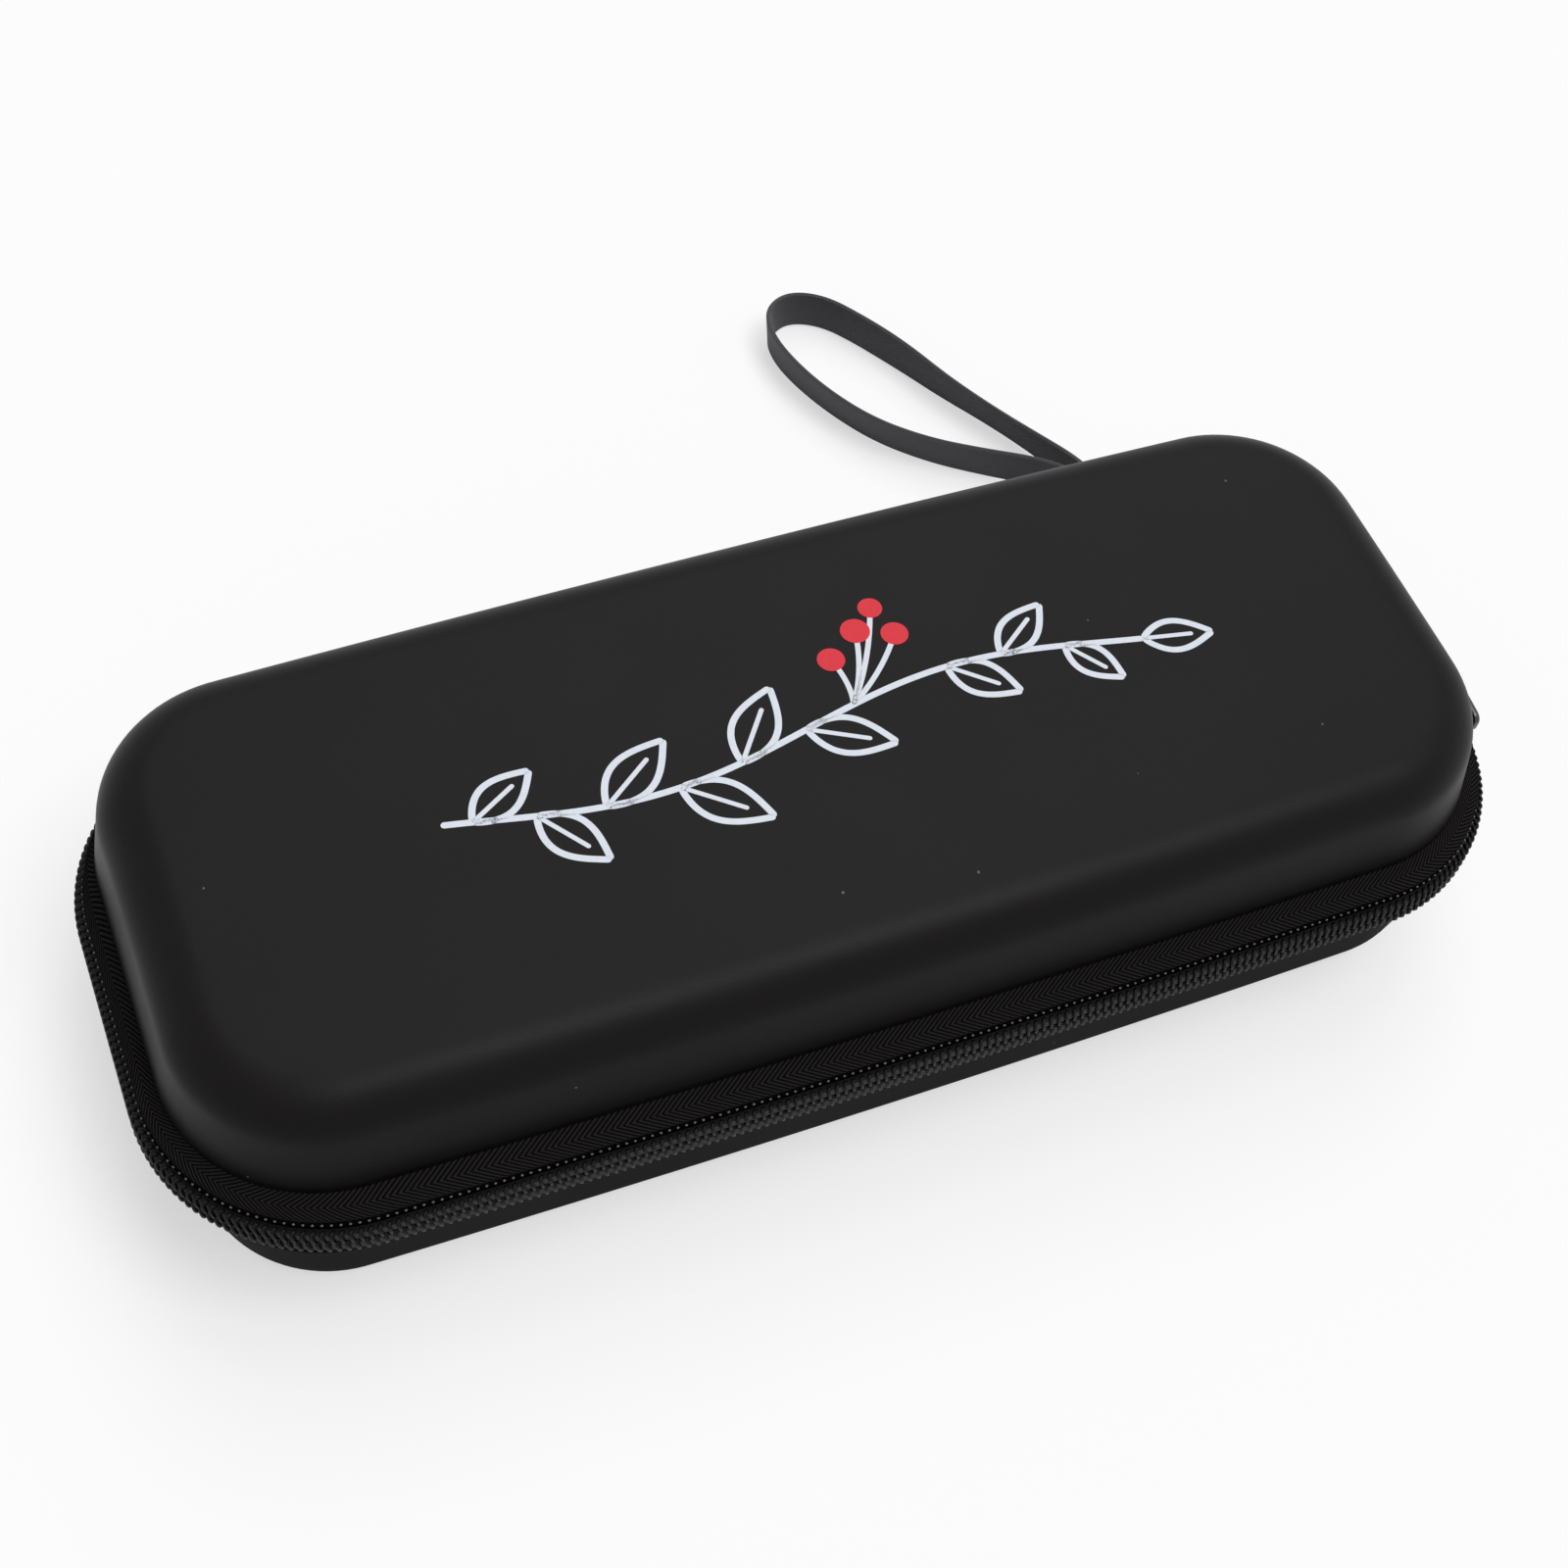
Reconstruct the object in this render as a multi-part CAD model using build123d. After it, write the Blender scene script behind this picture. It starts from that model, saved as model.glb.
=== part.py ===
"""Zipped hard case for a stethoscope, in millimetres, +Z up.

Two moulded trays, each foam between an outer skin and an inner lining, are joined by a zip that
runs round the front, both ends and the rear corners, and by a fabric strip along the back that is
the hinge. Two sliders meet at the middle of the right end. A wrist strap comes out of the back.
The origin is the middle of the base's underside: X runs along the case and -Y is the front.
"""

import os
from math import radians, sqrt, tan

from build123d import *

# Lid: its outline at the lower edge, and the form above it
LID_LENGTH = 262.0
LID_WIDTH = 101.7
LID_CORNER_R = 30.0
LID_EDGE_Z = 39.6
LID_DEPTH = 22.4
LID_DRAFT = 9.0
LID_ROUND = 10.5
CROWN = 1.2

# Base: its outline at the upper edge, and the form below it
BASE_LENGTH = 261.0
BASE_WIDTH = 106.8
BASE_CORNER_R = 28.0
BASE_DEPTH = 21.5
BASE_DRAFT = 10.5
BASE_ROUND = 8.5

# How far the middle of each long side stands out beyond its ends
SIDE_BOW = 1.7

# The layers of both trays, from outside to inside, and the binding sewn round each inner edge
SKIN_T = 0.8
FOAM_T = 3.2
LINING_T = 0.5
BINDING_T = 0.9
BINDING_H = 7.0
BINDING_CLEAR = 0.05

# Zip: the tapes lean out from the trays' edges and stand upright behind the coils
ZIP_Z = 33.0
UPRIGHT_H = 11.2
TAPE_T = 0.8
TAPE_OUT_FRONT = 4.9
TAPE_OUT_END = 3.6
TAPE_IN_BACK = 1.0
TAPE_CORNER_R = 35.0
LID_SEAM_IN = 0.4
BASE_SEAM_IN = 1.4
COIL_T = 2.1
COIL_H = 4.2
COIL_GAP = 1.4
ZIP_TAIL = 2.6
STOP_L = 4.0
STOP_PROUD = 0.3

# Hinge strip along the back, whose outer face meets the hinge axis
HINGE_OUT = 0.5
HINGE_STRIP_T = 1.2
HINGE_END_GAP = 1.5
HINGE_SPLIT = 0.3
HINGE_LID_OUT = 0.6

# Mesh pocket in the lid
NET_T = 0.8
NET_CLEAR = 0.2
HEM_Y = -26.0
HEM_W = 6.0
HEM_T = 1.6
EDGE_TAPE_W = 5.0
EDGE_TAPE_T = 0.6
EDGE_TAPE_CLEAR = 0.1

# Sliders, which straddle the zip at the right end with their noses together
SLIDER_L = 13.0
SLIDER_H = 11.0
SLIDER_TAIL_H = 9.0
PLATE_CORNER_R = 1.6
PLATE_T = 1.4
BACK_PLATE_L = 10.0
BACK_PLATE_H = 9.0
BACK_PLATE_T = 1.1
FRONT_CLEAR = 0.4
BACK_CLEAR = 0.7
POST_L = 3.0
POST_H = 0.8
NOSE_GAP = 0.6
BRIDGE_L = 8.2
BRIDGE_W = 2.0
BRIDGE_RISE = 4.0
BRIDGE_BAR = 1.2

# Pull tabs, each hooked through its slider's bridge
TAB_L = 15.0
TAB_W = 6.4
TAB_TIP_W = 5.0
TAB_T = 1.2
TAB_EYE_BAR = 1.5
TAB_WINDOW_L = 6.0
TAB_WINDOW_W = 3.4
TAB_TIP_R = 2.0

# Wrist strap: webbing that stands on its edge on the table, with both ends sewn in one root
STRAP_W = 10.0
STRAP_T = 1.4
ROOT_X = 99.4
ROOT_OUT = 12.1
ROOT_Z = 16.0
ROOT_T = 3.4
ROOT_SEAT = 8.0
STRAP_ROUTE = [
    (98.6, 66.1, 16.0),
    (98.6, 71.0, 16.0),
    (97.2, 78.0, 11.6),
    (93.5, 86.5, 7.0),
    (84.0, 94.5, 5.2),
    (74.0, 101.5, 5.2),
    (65.0, 110.5, 5.2),
    (58.5, 121.0, 5.2),
    (53.5, 132.5, 5.2),
    (51.0, 143.5, 5.2),
    (52.5, 151.5, 5.2),
    (59.0, 155.0, 5.2),
    (67.0, 151.0, 5.2),
    (73.5, 142.0, 5.2),
    (80.5, 130.5, 5.2),
    (86.0, 119.0, 5.2),
    (92.0, 108.5, 5.2),
    (98.0, 97.5, 5.2),
    (101.5, 86.5, 7.0),
    (101.3, 78.0, 11.6),
    (100.2, 71.0, 16.0),
    (100.2, 66.1, 16.0),
]
STRAP_FALL = STRAP_ROUTE[:5]

# Places that follow from the sizes above
WALL_T = SKIN_T + FOAM_T + LINING_T
TAPE_LENGTH = LID_LENGTH + 2 * TAPE_OUT_END
TAPE_WIDTH = LID_WIDTH + TAPE_OUT_FRONT - TAPE_IN_BACK
TAPE_Y = -(TAPE_OUT_FRONT + TAPE_IN_BACK) / 2
ZIP_END_X = TAPE_LENGTH / 2 - TAPE_CORNER_R - ZIP_TAIL
HINGE_Y = BASE_WIDTH / 2 + HINGE_OUT
HINGE_STRIP_L = 2 * (ZIP_END_X - HINGE_END_GAP)
NET_Z = LID_EDGE_Z + BINDING_H
NET_INSET = WALL_T + (BINDING_H + HEM_T) * tan(radians(LID_DRAFT)) + NET_CLEAR
BRIDGE_X = TAPE_LENGTH / 2 + COIL_T + FRONT_CLEAR + PLATE_T
PIVOT_X = BRIDGE_X + (BRIDGE_RISE - BRIDGE_BAR) / 2
BIG = 2 * LID_LENGTH

# Each edge: length, width, corner radius and how far forward or back its middle lies
LID_EDGE = (LID_LENGTH, LID_WIDTH, LID_CORNER_R, 0.0)
BASE_EDGE = (BASE_LENGTH, BASE_WIDTH, BASE_CORNER_R, 0.0)
TAPE_EDGE = (TAPE_LENGTH, TAPE_WIDTH, TAPE_CORNER_R, TAPE_Y)


def outline(edge, inset=0.0):
    """A rounded rectangle with bowed long sides, drawn inset from an edge, flat at z = 0."""
    length, width, corner_r, middle_y = edge
    x, y = length / 2 - inset, width / 2 - inset
    front = ThreePointArc((-x, -y), (0, -y - SIDE_BOW), (x, -y))
    back = ThreePointArc((x, y), (0, y + SIDE_BOW), (-x, y))
    ends = [Line((x, -y), (x, y)), Line((-x, y), (-x, -y))]
    sharp = make_face([front, back, *ends])
    return Pos(0, middle_y, 0) * fillet(sharp.vertices(), corner_r - inset)


def through(sections, inset=0.0):
    """The solid through outlines at several heights, each given as its edge, inset and height."""
    return loft([Pos(0, 0, z) * outline(edge, own + inset) for edge, own, z in sections], ruled=True)


def band(sections, thickness):
    """A closed band through outlines at several heights, with its thickness inwards."""
    return through(sections) - through(sections, thickness)


def crowned_block(depth):
    """A block whose top is arched across the case, with its ridge at z = depth."""
    half_y = LID_WIDTH / 2
    radius = (half_y**2 + CROWN**2) / (2 * CROWN)
    reach = 2 * half_y
    side_z = depth - radius + sqrt(radius**2 - reach**2)
    top = ThreePointArc((-reach, side_z), (0, depth), (reach, side_z))
    below = Polyline((reach, side_z), (reach, -depth), (-reach, -depth), (-reach, side_z))
    return extrude(Plane.YZ * make_face([top, below]), BIG / 2, both=True)


def tray(edge, depth, draft, edge_round, inset, crowned):
    """A solid bowl form, mouth down on z = 0, drawn inset from its outer surface."""
    lean = (depth - inset) * tan(radians(draft))
    form = through([(edge, inset, 0), (edge, inset + lean, depth - inset)])
    if crowned:
        form = form & crowned_block(depth - inset)
    rim_z = depth - inset - 2 * CROWN
    rim = form.edges().filter_by(lambda e: e.center().Z > rim_z and e.length > 1)
    return fillet(rim, edge_round - inset)


def lid_form(inset):
    """The lid's form, inset from its outer surface."""
    return Pos(0, 0, LID_EDGE_Z) * tray(LID_EDGE, LID_DEPTH, LID_DRAFT, LID_ROUND, inset, True)


def base_form(inset):
    """The base's form, inset from its outer surface, mouth up."""
    form = tray(BASE_EDGE, BASE_DEPTH, BASE_DRAFT, BASE_ROUND, inset, False)
    return Pos(0, 0, BASE_DEPTH) * Rot(180, 0, 0) * form


def shells(name, form):
    """The three layers of a tray, each filling the space inside the one before it."""
    outer, under_skin, under_foam, inside = (form(t) for t in (0, SKIN_T, SKIN_T + FOAM_T, WALL_T))
    return {
        f"{name}_skin": outer - under_skin,
        f"{name}_shell": under_skin - under_foam,
        f"{name}_lining": under_foam - inside,
    }


def back_space(half_length):
    """The space behind the case, between -half_length and half_length along X."""
    return Box(2 * half_length, BIG, BIG, align=(Align.CENTER, Align.MIN, Align.CENTER))


def binding(edge, edge_z, draft, up):
    """Edge binding round the inside of a tray's mouth, against the lining."""
    lean = BINDING_H * tan(radians(draft))
    first = WALL_T + BINDING_CLEAR
    mouth = (edge, first, edge_z)
    inner = (edge, first + lean, edge_z + up * BINDING_H)
    return band([mouth, inner] if up > 0 else [inner, mouth], BINDING_T)


def tape(edge, seam_in, edge_z, up):
    """Zip tape from the seam at a tray's edge to the middle of the zip."""
    seam = (edge, seam_in, edge_z)
    bend = (TAPE_EDGE, 0, ZIP_Z + up * UPRIGHT_H / 2)
    middle = (TAPE_EDGE, 0, ZIP_Z + up * COIL_GAP / 2)
    sections = [middle, bend, seam] if up > 0 else [seam, bend, middle]
    return band(sections, TAPE_T) - back_space(ZIP_END_X)


def coil_band(up, thickness):
    """The space of one coil row, all round the tape's outer face."""
    heights = sorted(ZIP_Z + up * (COIL_GAP / 2 + h) for h in (0, COIL_H))
    return band([(TAPE_EDGE, -thickness, z) for z in heights], thickness)


def coil(up):
    """One row of the zip's nylon coil."""
    return coil_band(up, COIL_T) - back_space(ZIP_END_X + STOP_L)


def stops(up):
    """The two crimped stops at the ends of a coil row."""
    row = coil_band(up, COIL_T + STOP_PROUD)
    return (row & back_space(ZIP_END_X + STOP_L)) - back_space(ZIP_END_X)


def hinge_strip_base():
    """The lower half of the hinge strip, from the base's edge to the fold."""
    low, high = BASE_DEPTH, ZIP_Z - HINGE_SPLIT / 2
    strip = Box(HINGE_STRIP_L, HINGE_STRIP_T, high - low, align=(Align.CENTER, Align.MAX, Align.MIN))
    return Pos(0, HINGE_Y, low) * strip


def hinge_strip_lid():
    """The upper half of the hinge strip, from the fold to the lid's edge."""
    low, seam_y = ZIP_Z + HINGE_SPLIT / 2, LID_WIDTH / 2 + HINGE_LID_OUT
    section = Plane.YZ * make_face(
        Polyline(
            (HINGE_Y, low),
            (seam_y, LID_EDGE_Z),
            (seam_y - HINGE_STRIP_T, LID_EDGE_Z),
            (HINGE_Y - HINGE_STRIP_T, low),
            close=True,
        )
    )
    return extrude(section, HINGE_STRIP_L / 2, both=True)


def pocket():
    """Net across the lid, its elastic hem at the front, and the tape over its sewn edges."""
    inside = through([(LID_EDGE, NET_INSET, NET_Z), (LID_EDGE, NET_INSET, NET_Z + HEM_T)])
    back = Pos(0, HEM_Y, NET_Z) * Box(BIG, BIG, NET_T, align=(Align.CENTER, Align.MIN, Align.MIN))
    hem = Pos(0, HEM_Y, NET_Z) * Box(BIG, HEM_W, HEM_T, align=(Align.CENTER, Align.MAX, Align.MIN))
    tape_in = WALL_T + BINDING_H * tan(radians(LID_DRAFT)) + BINDING_T + EDGE_TAPE_CLEAR
    sections = [(LID_EDGE, tape_in, NET_Z - EDGE_TAPE_T), (LID_EDGE, tape_in, NET_Z)]
    front = Pos(0, HEM_Y, 0) * Box(BIG, BIG, BIG, align=(Align.CENTER, Align.MAX, Align.CENTER))
    return {
        "pocket_net": inside & back,
        "pocket_hem": inside & hem,
        "pocket_edge_tape": band(sections, EDGE_TAPE_W) - front,
    }


def slider_y(side):
    """The middle of a slider along Y; side is -1 for the front one and 1 for the rear one."""
    return TAPE_Y + side * (NOSE_GAP + SLIDER_L) / 2


def slider_body(side):
    """Two plates, in front of the coils and behind the tapes, with a thin post between them."""
    nose, tail = -side * SLIDER_L / 2, side * SLIDER_L / 2
    corners = [
        (nose, -SLIDER_H / 2),
        (nose, SLIDER_H / 2),
        (tail, SLIDER_TAIL_H / 2),
        (tail, -SLIDER_TAIL_H / 2),
    ]
    face = make_face(Polyline(*corners, close=True))
    face = Plane.YZ * fillet(face.vertices(), PLATE_CORNER_R)
    front_x = BRIDGE_X - PLATE_T
    front = Pos(front_x, 0, 0) * extrude(face, PLATE_T, dir=(1, 0, 0))
    back_x = TAPE_LENGTH / 2 - TAPE_T - BACK_CLEAR
    shift = (nose + side * BACK_PLATE_L / 2, 0)
    back_face = Pos(*shift) * RectangleRounded(BACK_PLATE_L, BACK_PLATE_H, PLATE_CORNER_R)
    back = Pos(back_x, 0, 0) * extrude(Plane.YZ * back_face, BACK_PLATE_T, dir=(-1, 0, 0))
    post_y = nose + side * (PLATE_CORNER_R + POST_L / 2)
    post = Pos((front_x + back_x) / 2, post_y, 0) * Box(front_x - back_x, POST_L, POST_H)
    return Pos(0, slider_y(side), ZIP_Z) * (front + back + post)


def slider_bridge(side):
    """The arch on the slider's front plate that the pull tab hooks through."""
    arch = Box(BRIDGE_RISE, BRIDGE_L, BRIDGE_W, align=(Align.MIN, Align.CENTER, Align.CENTER))
    arch = fillet(arch.edges().filter_by(Axis.Z).group_by(Axis.X)[-1], BRIDGE_BAR)
    window = (BRIDGE_RISE - BRIDGE_BAR, BRIDGE_L - 2 * BRIDGE_BAR, BIG)
    arch -= Box(*window, align=(Align.MIN, Align.CENTER, Align.CENTER))
    return Pos(BRIDGE_X, slider_y(side), ZIP_Z) * arch


def slider_tab(side):
    """The flat pull tab, folded back along the slider, with its eye round the bridge."""
    first, last = -TAB_EYE_BAR / 2, TAB_L - TAB_EYE_BAR / 2
    waist = first + 2 * TAB_EYE_BAR + TAB_WINDOW_L
    side_points = [(first, TAB_W / 2), (waist, TAB_W / 2), (last, TAB_TIP_W / 2)]
    corners = side_points + [(y, -z) for y, z in reversed(side_points)]
    face = make_face(Polyline(*corners, close=True))
    face = fillet(face.vertices().group_by(Axis.X)[-1], TAB_TIP_R)
    window_y = TAB_EYE_BAR / 2 + TAB_WINDOW_L / 2
    face -= Pos(window_y, 0) * RectangleRounded(TAB_WINDOW_L, TAB_WINDOW_W, TAB_EYE_BAR / 2)
    tab = extrude(Plane.YZ * face, TAB_T / 2, both=True)
    if side < 0:
        tab = Rot(0, 0, 180) * tab
    return Pos(PIVOT_X, slider_y(side), ZIP_Z) * tab


def strap_root():
    """The strap's two ends sewn together face to face, seated on the base's back wall."""
    length = ROOT_OUT + ROOT_SEAT
    block = Box(ROOT_T, length, STRAP_W, align=(Align.CENTER, Align.MAX, Align.CENTER))
    return Pos(ROOT_X, HINGE_Y + ROOT_OUT, ROOT_Z) * block - base_form(0)


def rounded_path(points):
    """Straight runs joined by arcs, each arc as large as its two runs allow."""
    radii = []
    for before, here, after in zip(points, points[1:], points[2:]):
        turn = radians((here - before).get_angle(after - here))
        shorter = min((here - before).length, (after - here).length)
        radii.append(0.45 * shorter / tan(turn / 2))
    print("strap radii", [round(radius, 1) for radius in radii])
    return FilletPolyline(*points, radius=radii)


def wrist_strap():
    """Upright webbing along the loop's plan, between edges that fall from the root to the table."""
    plan = rounded_path([Vector(x, y, 0) for x, y, _ in STRAP_ROUTE])
    section = Plane(plan @ 0, x_dir=(1, 0, 0), z_dir=plan % 0) * Rectangle(STRAP_T, 4 * ROOT_Z)
    fall = [Vector(0, y, z) for _, y, z in STRAP_FALL]
    middle = rounded_path([*fall, Vector(0, BIG, fall[-1].Z)])
    low = Pos(0, 0, -STRAP_W / 2) * middle
    high = Pos(0, 0, STRAP_W / 2) * middle
    side = make_face([*low.edges(), Line(low @ 1, high @ 1), *high.edges(), Line(high @ 0, low @ 0)])
    return sweep(section, plan) & extrude(side, BIG / 2, dir=(1, 0, 0), both=True)


def build():
    """Every piece of the case, by name."""
    pieces = {**shells("base", base_form), **shells("lid", lid_form)}
    pieces["base_binding"] = binding(BASE_EDGE, BASE_DEPTH, BASE_DRAFT, -1)
    pieces["lid_binding"] = binding(LID_EDGE, LID_EDGE_Z, LID_DRAFT, 1)
    pieces["lower_tape"] = tape(BASE_EDGE, BASE_SEAM_IN, BASE_DEPTH, -1)
    pieces["upper_tape"] = tape(LID_EDGE, LID_SEAM_IN, LID_EDGE_Z, 1)
    for name, up in (("lower", -1), ("upper", 1)):
        pieces[f"{name}_coil"] = coil(up)
        pieces[f"{name}_stops"] = stops(up)
    pieces["hinge_strip_base"] = hinge_strip_base()
    pieces["hinge_strip_lid"] = hinge_strip_lid()
    pieces.update(pocket())
    for name, side in (("front", -1), ("rear", 1)):
        pieces[f"{name}_slider_body"] = slider_body(side)
        pieces[f"{name}_slider_bridge"] = slider_bridge(side)
        pieces[f"{name}_slider_tab"] = slider_tab(side)
    pieces["strap_root"] = strap_root()
    pieces["wrist_strap"] = wrist_strap()
    return pieces


os.makedirs("parts", exist_ok=True)
for node, piece in build().items():
    export_step(piece, f"parts/{node}.step")
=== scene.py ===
# %% [markdown]
# # A zipped hard case for a stethoscope
# The real case is two trays pressed from foam, covered in a matt coated fabric, joined by a coil
# zip on three sides and hinged by a strip of cloth on the fourth. This lesson dresses the case's
# solids: it keeps every size and place of the solids, and makes the surfaces that a buyer sees.

# %% Load the solids
from collections import namedtuple
from math import atan2, cos, pi, radians, sin, sqrt, tan

import bmesh
import bpy
import numpy as np
from mathutils import Matrix, Vector


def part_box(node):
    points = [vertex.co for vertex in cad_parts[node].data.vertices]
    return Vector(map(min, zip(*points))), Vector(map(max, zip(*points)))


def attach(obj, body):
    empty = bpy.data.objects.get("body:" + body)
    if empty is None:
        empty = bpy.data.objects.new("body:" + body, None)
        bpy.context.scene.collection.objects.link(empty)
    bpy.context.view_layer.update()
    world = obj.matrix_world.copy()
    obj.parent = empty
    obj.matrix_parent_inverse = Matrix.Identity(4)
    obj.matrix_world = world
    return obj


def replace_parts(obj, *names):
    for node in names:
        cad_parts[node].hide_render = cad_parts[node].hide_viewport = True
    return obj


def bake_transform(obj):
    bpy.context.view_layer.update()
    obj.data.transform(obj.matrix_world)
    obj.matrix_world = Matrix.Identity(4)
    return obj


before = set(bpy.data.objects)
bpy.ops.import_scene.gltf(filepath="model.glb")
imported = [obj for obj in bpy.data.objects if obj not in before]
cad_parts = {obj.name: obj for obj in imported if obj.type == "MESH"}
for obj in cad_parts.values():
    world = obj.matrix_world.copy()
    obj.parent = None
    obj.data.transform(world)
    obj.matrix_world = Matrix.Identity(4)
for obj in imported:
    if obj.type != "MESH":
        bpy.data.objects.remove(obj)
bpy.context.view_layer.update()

MM = 0.001
Z_AXIS = Vector((0, 0, 1))

# %% [markdown]
# ## Camera
# A product shot of a small case is taken from above with a short telephoto lens. The place and
# the lens were found by fitting the case's outline, so they are written as plain numbers here.

# %% Camera
AZIMUTH, ELEVATION, ROLL = radians(-28.77), radians(55.47), radians(8.69)
TARGET = Vector((1.74, 12.17, 25.0)) * MM
DISTANCE = 498.67 * MM
LENS = 57.24

camera_data = bpy.data.cameras.new("camera")
camera = bpy.data.objects.new("camera", camera_data)
bpy.context.collection.objects.link(camera)
back = Vector((sin(AZIMUTH) * cos(ELEVATION), -cos(AZIMUTH) * cos(ELEVATION), sin(ELEVATION)))
side = Z_AXIS.cross(back).normalized()
above = back.cross(side)
right = side * cos(ROLL) + above * sin(ROLL)
up = above * cos(ROLL) - side * sin(ROLL)
turned = Matrix((right, up, back)).transposed().to_4x4()
camera.matrix_world = Matrix.Translation(TARGET + back * DISTANCE) @ turned
camera_data.lens = LENS
camera_data.sensor_width = 36
camera_data.clip_start = 0.01
bpy.context.scene.camera = camera
print("camera at", [round(v / MM) for v in camera.matrix_world.translation], "mm")

# %% [markdown]
# ## Colour and shader helpers
# Colours are written as the hex values that a paint chart would give, and turned to linear light
# once, here. One small function adds a node with its settings and its links.

# %% Colour and nodes
MATH = "ShaderNodeMath"


def linear(code):
    """A hex colour as linear RGBA."""
    values = [int(code[i : i + 2], 16) / 255 for i in (1, 3, 5)]
    return (*[v / 12.92 if v <= 0.04045 else ((v + 0.055) / 1.055) ** 2.4 for v in values], 1.0)


def add(tree, kind, inputs=(), **settings):
    """One node with its settings. An input is a value, an output, or a node's first output."""
    new = tree.nodes.new(kind)
    for name, value in settings.items():
        setattr(new, name, value)
    for key, value in inputs.items() if isinstance(inputs, dict) else enumerate(inputs):
        if isinstance(value, bpy.types.Node):
            value = next(out for out in value.outputs if out.enabled)
        if isinstance(value, bpy.types.NodeSocket):
            tree.links.new(value, new.inputs[key])
        else:
            new.inputs[key].default_value = value
    return new


def finish_of(name, colour, roughness, specular=0.5, coat=0.0, sheen=0.0):
    """A material with its Principled shader, ready for a pattern."""
    made = bpy.data.materials.new(name)
    made.use_nodes = True
    shader = made.node_tree.nodes["Principled BSDF"]
    shader.inputs["Base Color"].default_value = linear(colour)
    shader.inputs["Roughness"].default_value = roughness
    shader.inputs["Specular IOR Level"].default_value = specular
    shader.inputs["Coat Weight"].default_value = coat
    shader.inputs["Sheen Weight"].default_value = sheen
    return made, made.node_tree, shader


def dress(tree, shader, pattern, dark, light, height=None, depth=0.0):
    """A pattern runs the colour from one hex value to another, and a height raises the surface."""
    ends = {"Factor": pattern, "A": linear(dark), "B": linear(light)}
    tint = add(tree, "ShaderNodeMix", ends, data_type="RGBA")
    tree.links.new(tint.outputs["Result"], shader.inputs["Base Color"])
    relief = add(tree, "ShaderNodeBump", {"Height": height or pattern, "Distance": depth})
    tree.links.new(relief.outputs["Normal"], shader.inputs["Normal"])


def along_and_across(tree):
    """A strip's UV map, along and across, in millimetres."""
    uv = add(tree, "ShaderNodeUVMap", uv_map="strip")
    scaled = add(tree, "ShaderNodeVectorMath", {0: uv, "Scale": 1 / MM}, operation="SCALE")
    return add(tree, "ShaderNodeSeparateXYZ", (scaled,)).outputs


def mottled(name, dark, light, grain, depth, detail, roughness, specular, sheen=0.0):
    """A material that varies at random in colour and height, at one size of grain."""
    made, tree, shader = finish_of(name, dark, roughness, specular, sheen=sheen)
    where = add(tree, "ShaderNodeTexCoord").outputs["Object"]
    spots = {"Vector": where, "Scale": 1 / grain, "Detail": detail}
    dress(tree, shader, add(tree, "ShaderNodeTexNoise", spots), dark, light, depth=depth)
    return made


print("mid grey is", round(linear("#808080")[0], 3), "in linear light")

# %% [markdown]
# ## Floor and light
# The case lies on plain white paper under a soft box and a bright room. The lamps together light
# the paper just to white, so that a colour shows about as it is written.

# %% Floor and light
FLOOR_SIZE = 6.0
PAPER_GLOW = 0.6
ROOM_LIGHT = 0.2
bpy.ops.mesh.primitive_plane_add(size=FLOOR_SIZE)
floor = bpy.context.object
floor.name = "floor"


def seen_rays(tree):
    """1 for a ray that shows the background: to the camera, through glass or in a shine."""
    rays = add(tree, "ShaderNodeLightPath").outputs
    seen = (rays["Is Camera Ray"], rays["Is Transmission Ray"])
    seen = (add(tree, MATH, seen, operation="MAXIMUM"), rays["Is Glossy Ray"])
    return add(tree, MATH, seen, operation="MAXIMUM")


# Matt white paper has no shine, so the case leaves only its soft shadow on it
paper, tree, shader = finish_of("white_paper", "#fdfdfd", 0.9, specular=0.0)
share = add(tree, MATH, (seen_rays(tree), PAPER_GLOW), operation="MULTIPLY")
glow = add(tree, "ShaderNodeEmission", {"Strength": 1.0})
surface = add(tree, "ShaderNodeMixShader", (share, shader, glow))
tree.links.new(surface.outputs[0], tree.nodes["Material Output"].inputs["Surface"])
floor.data.materials.append(paper)

world = bpy.data.worlds.new("room")
bpy.context.scene.world = world
world.use_nodes = True
tree, sky = world.node_tree, world.node_tree.nodes["Background"]
light = add(tree, "ShaderNodeMix", {"Factor": seen_rays(tree), "A": ROOM_LIGHT, "B": 1.0})
tree.links.new(light.outputs["Result"], sky.inputs["Strength"])
sky.inputs["Color"].default_value = (1, 1, 1, 1)

# Each soft box is far away, and covers a width of the sky in degrees
SOFT_BOXES = (
    ("front_box", (0.25, -0.32, 0.91), 30, 1.2),
    ("top_box", (0.25, -0.02, 0.96), 36, 0.7),
    ("back_box", (0.25, 0.5, 0.82), 36, 0.75),
)
for name, direction, width, strength in SOFT_BOXES:
    lamp = bpy.data.lights.new(name, "SUN")
    lamp.angle = radians(width)
    lamp.energy = strength
    holder = bpy.data.objects.new(name, lamp)
    holder.rotation_euler = Vector(direction).to_track_quat("Z", "Y").to_euler()
    bpy.context.collection.objects.link(holder)
print("floor and", len(SOFT_BOXES), "soft boxes")

# %% [markdown]
# ## The case's outlines
# Lid, base and zip follow the same kind of outline: a long rounded rectangle whose long sides bow
# out a little. A mark from 0 to 12 names a place on any of them, so that the lid's edge and the
# zip's edge can be joined mark by mark: 0 is the middle of the right end, 3 the middle of the
# back, 6 of the left end and 9 of the front.

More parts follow.
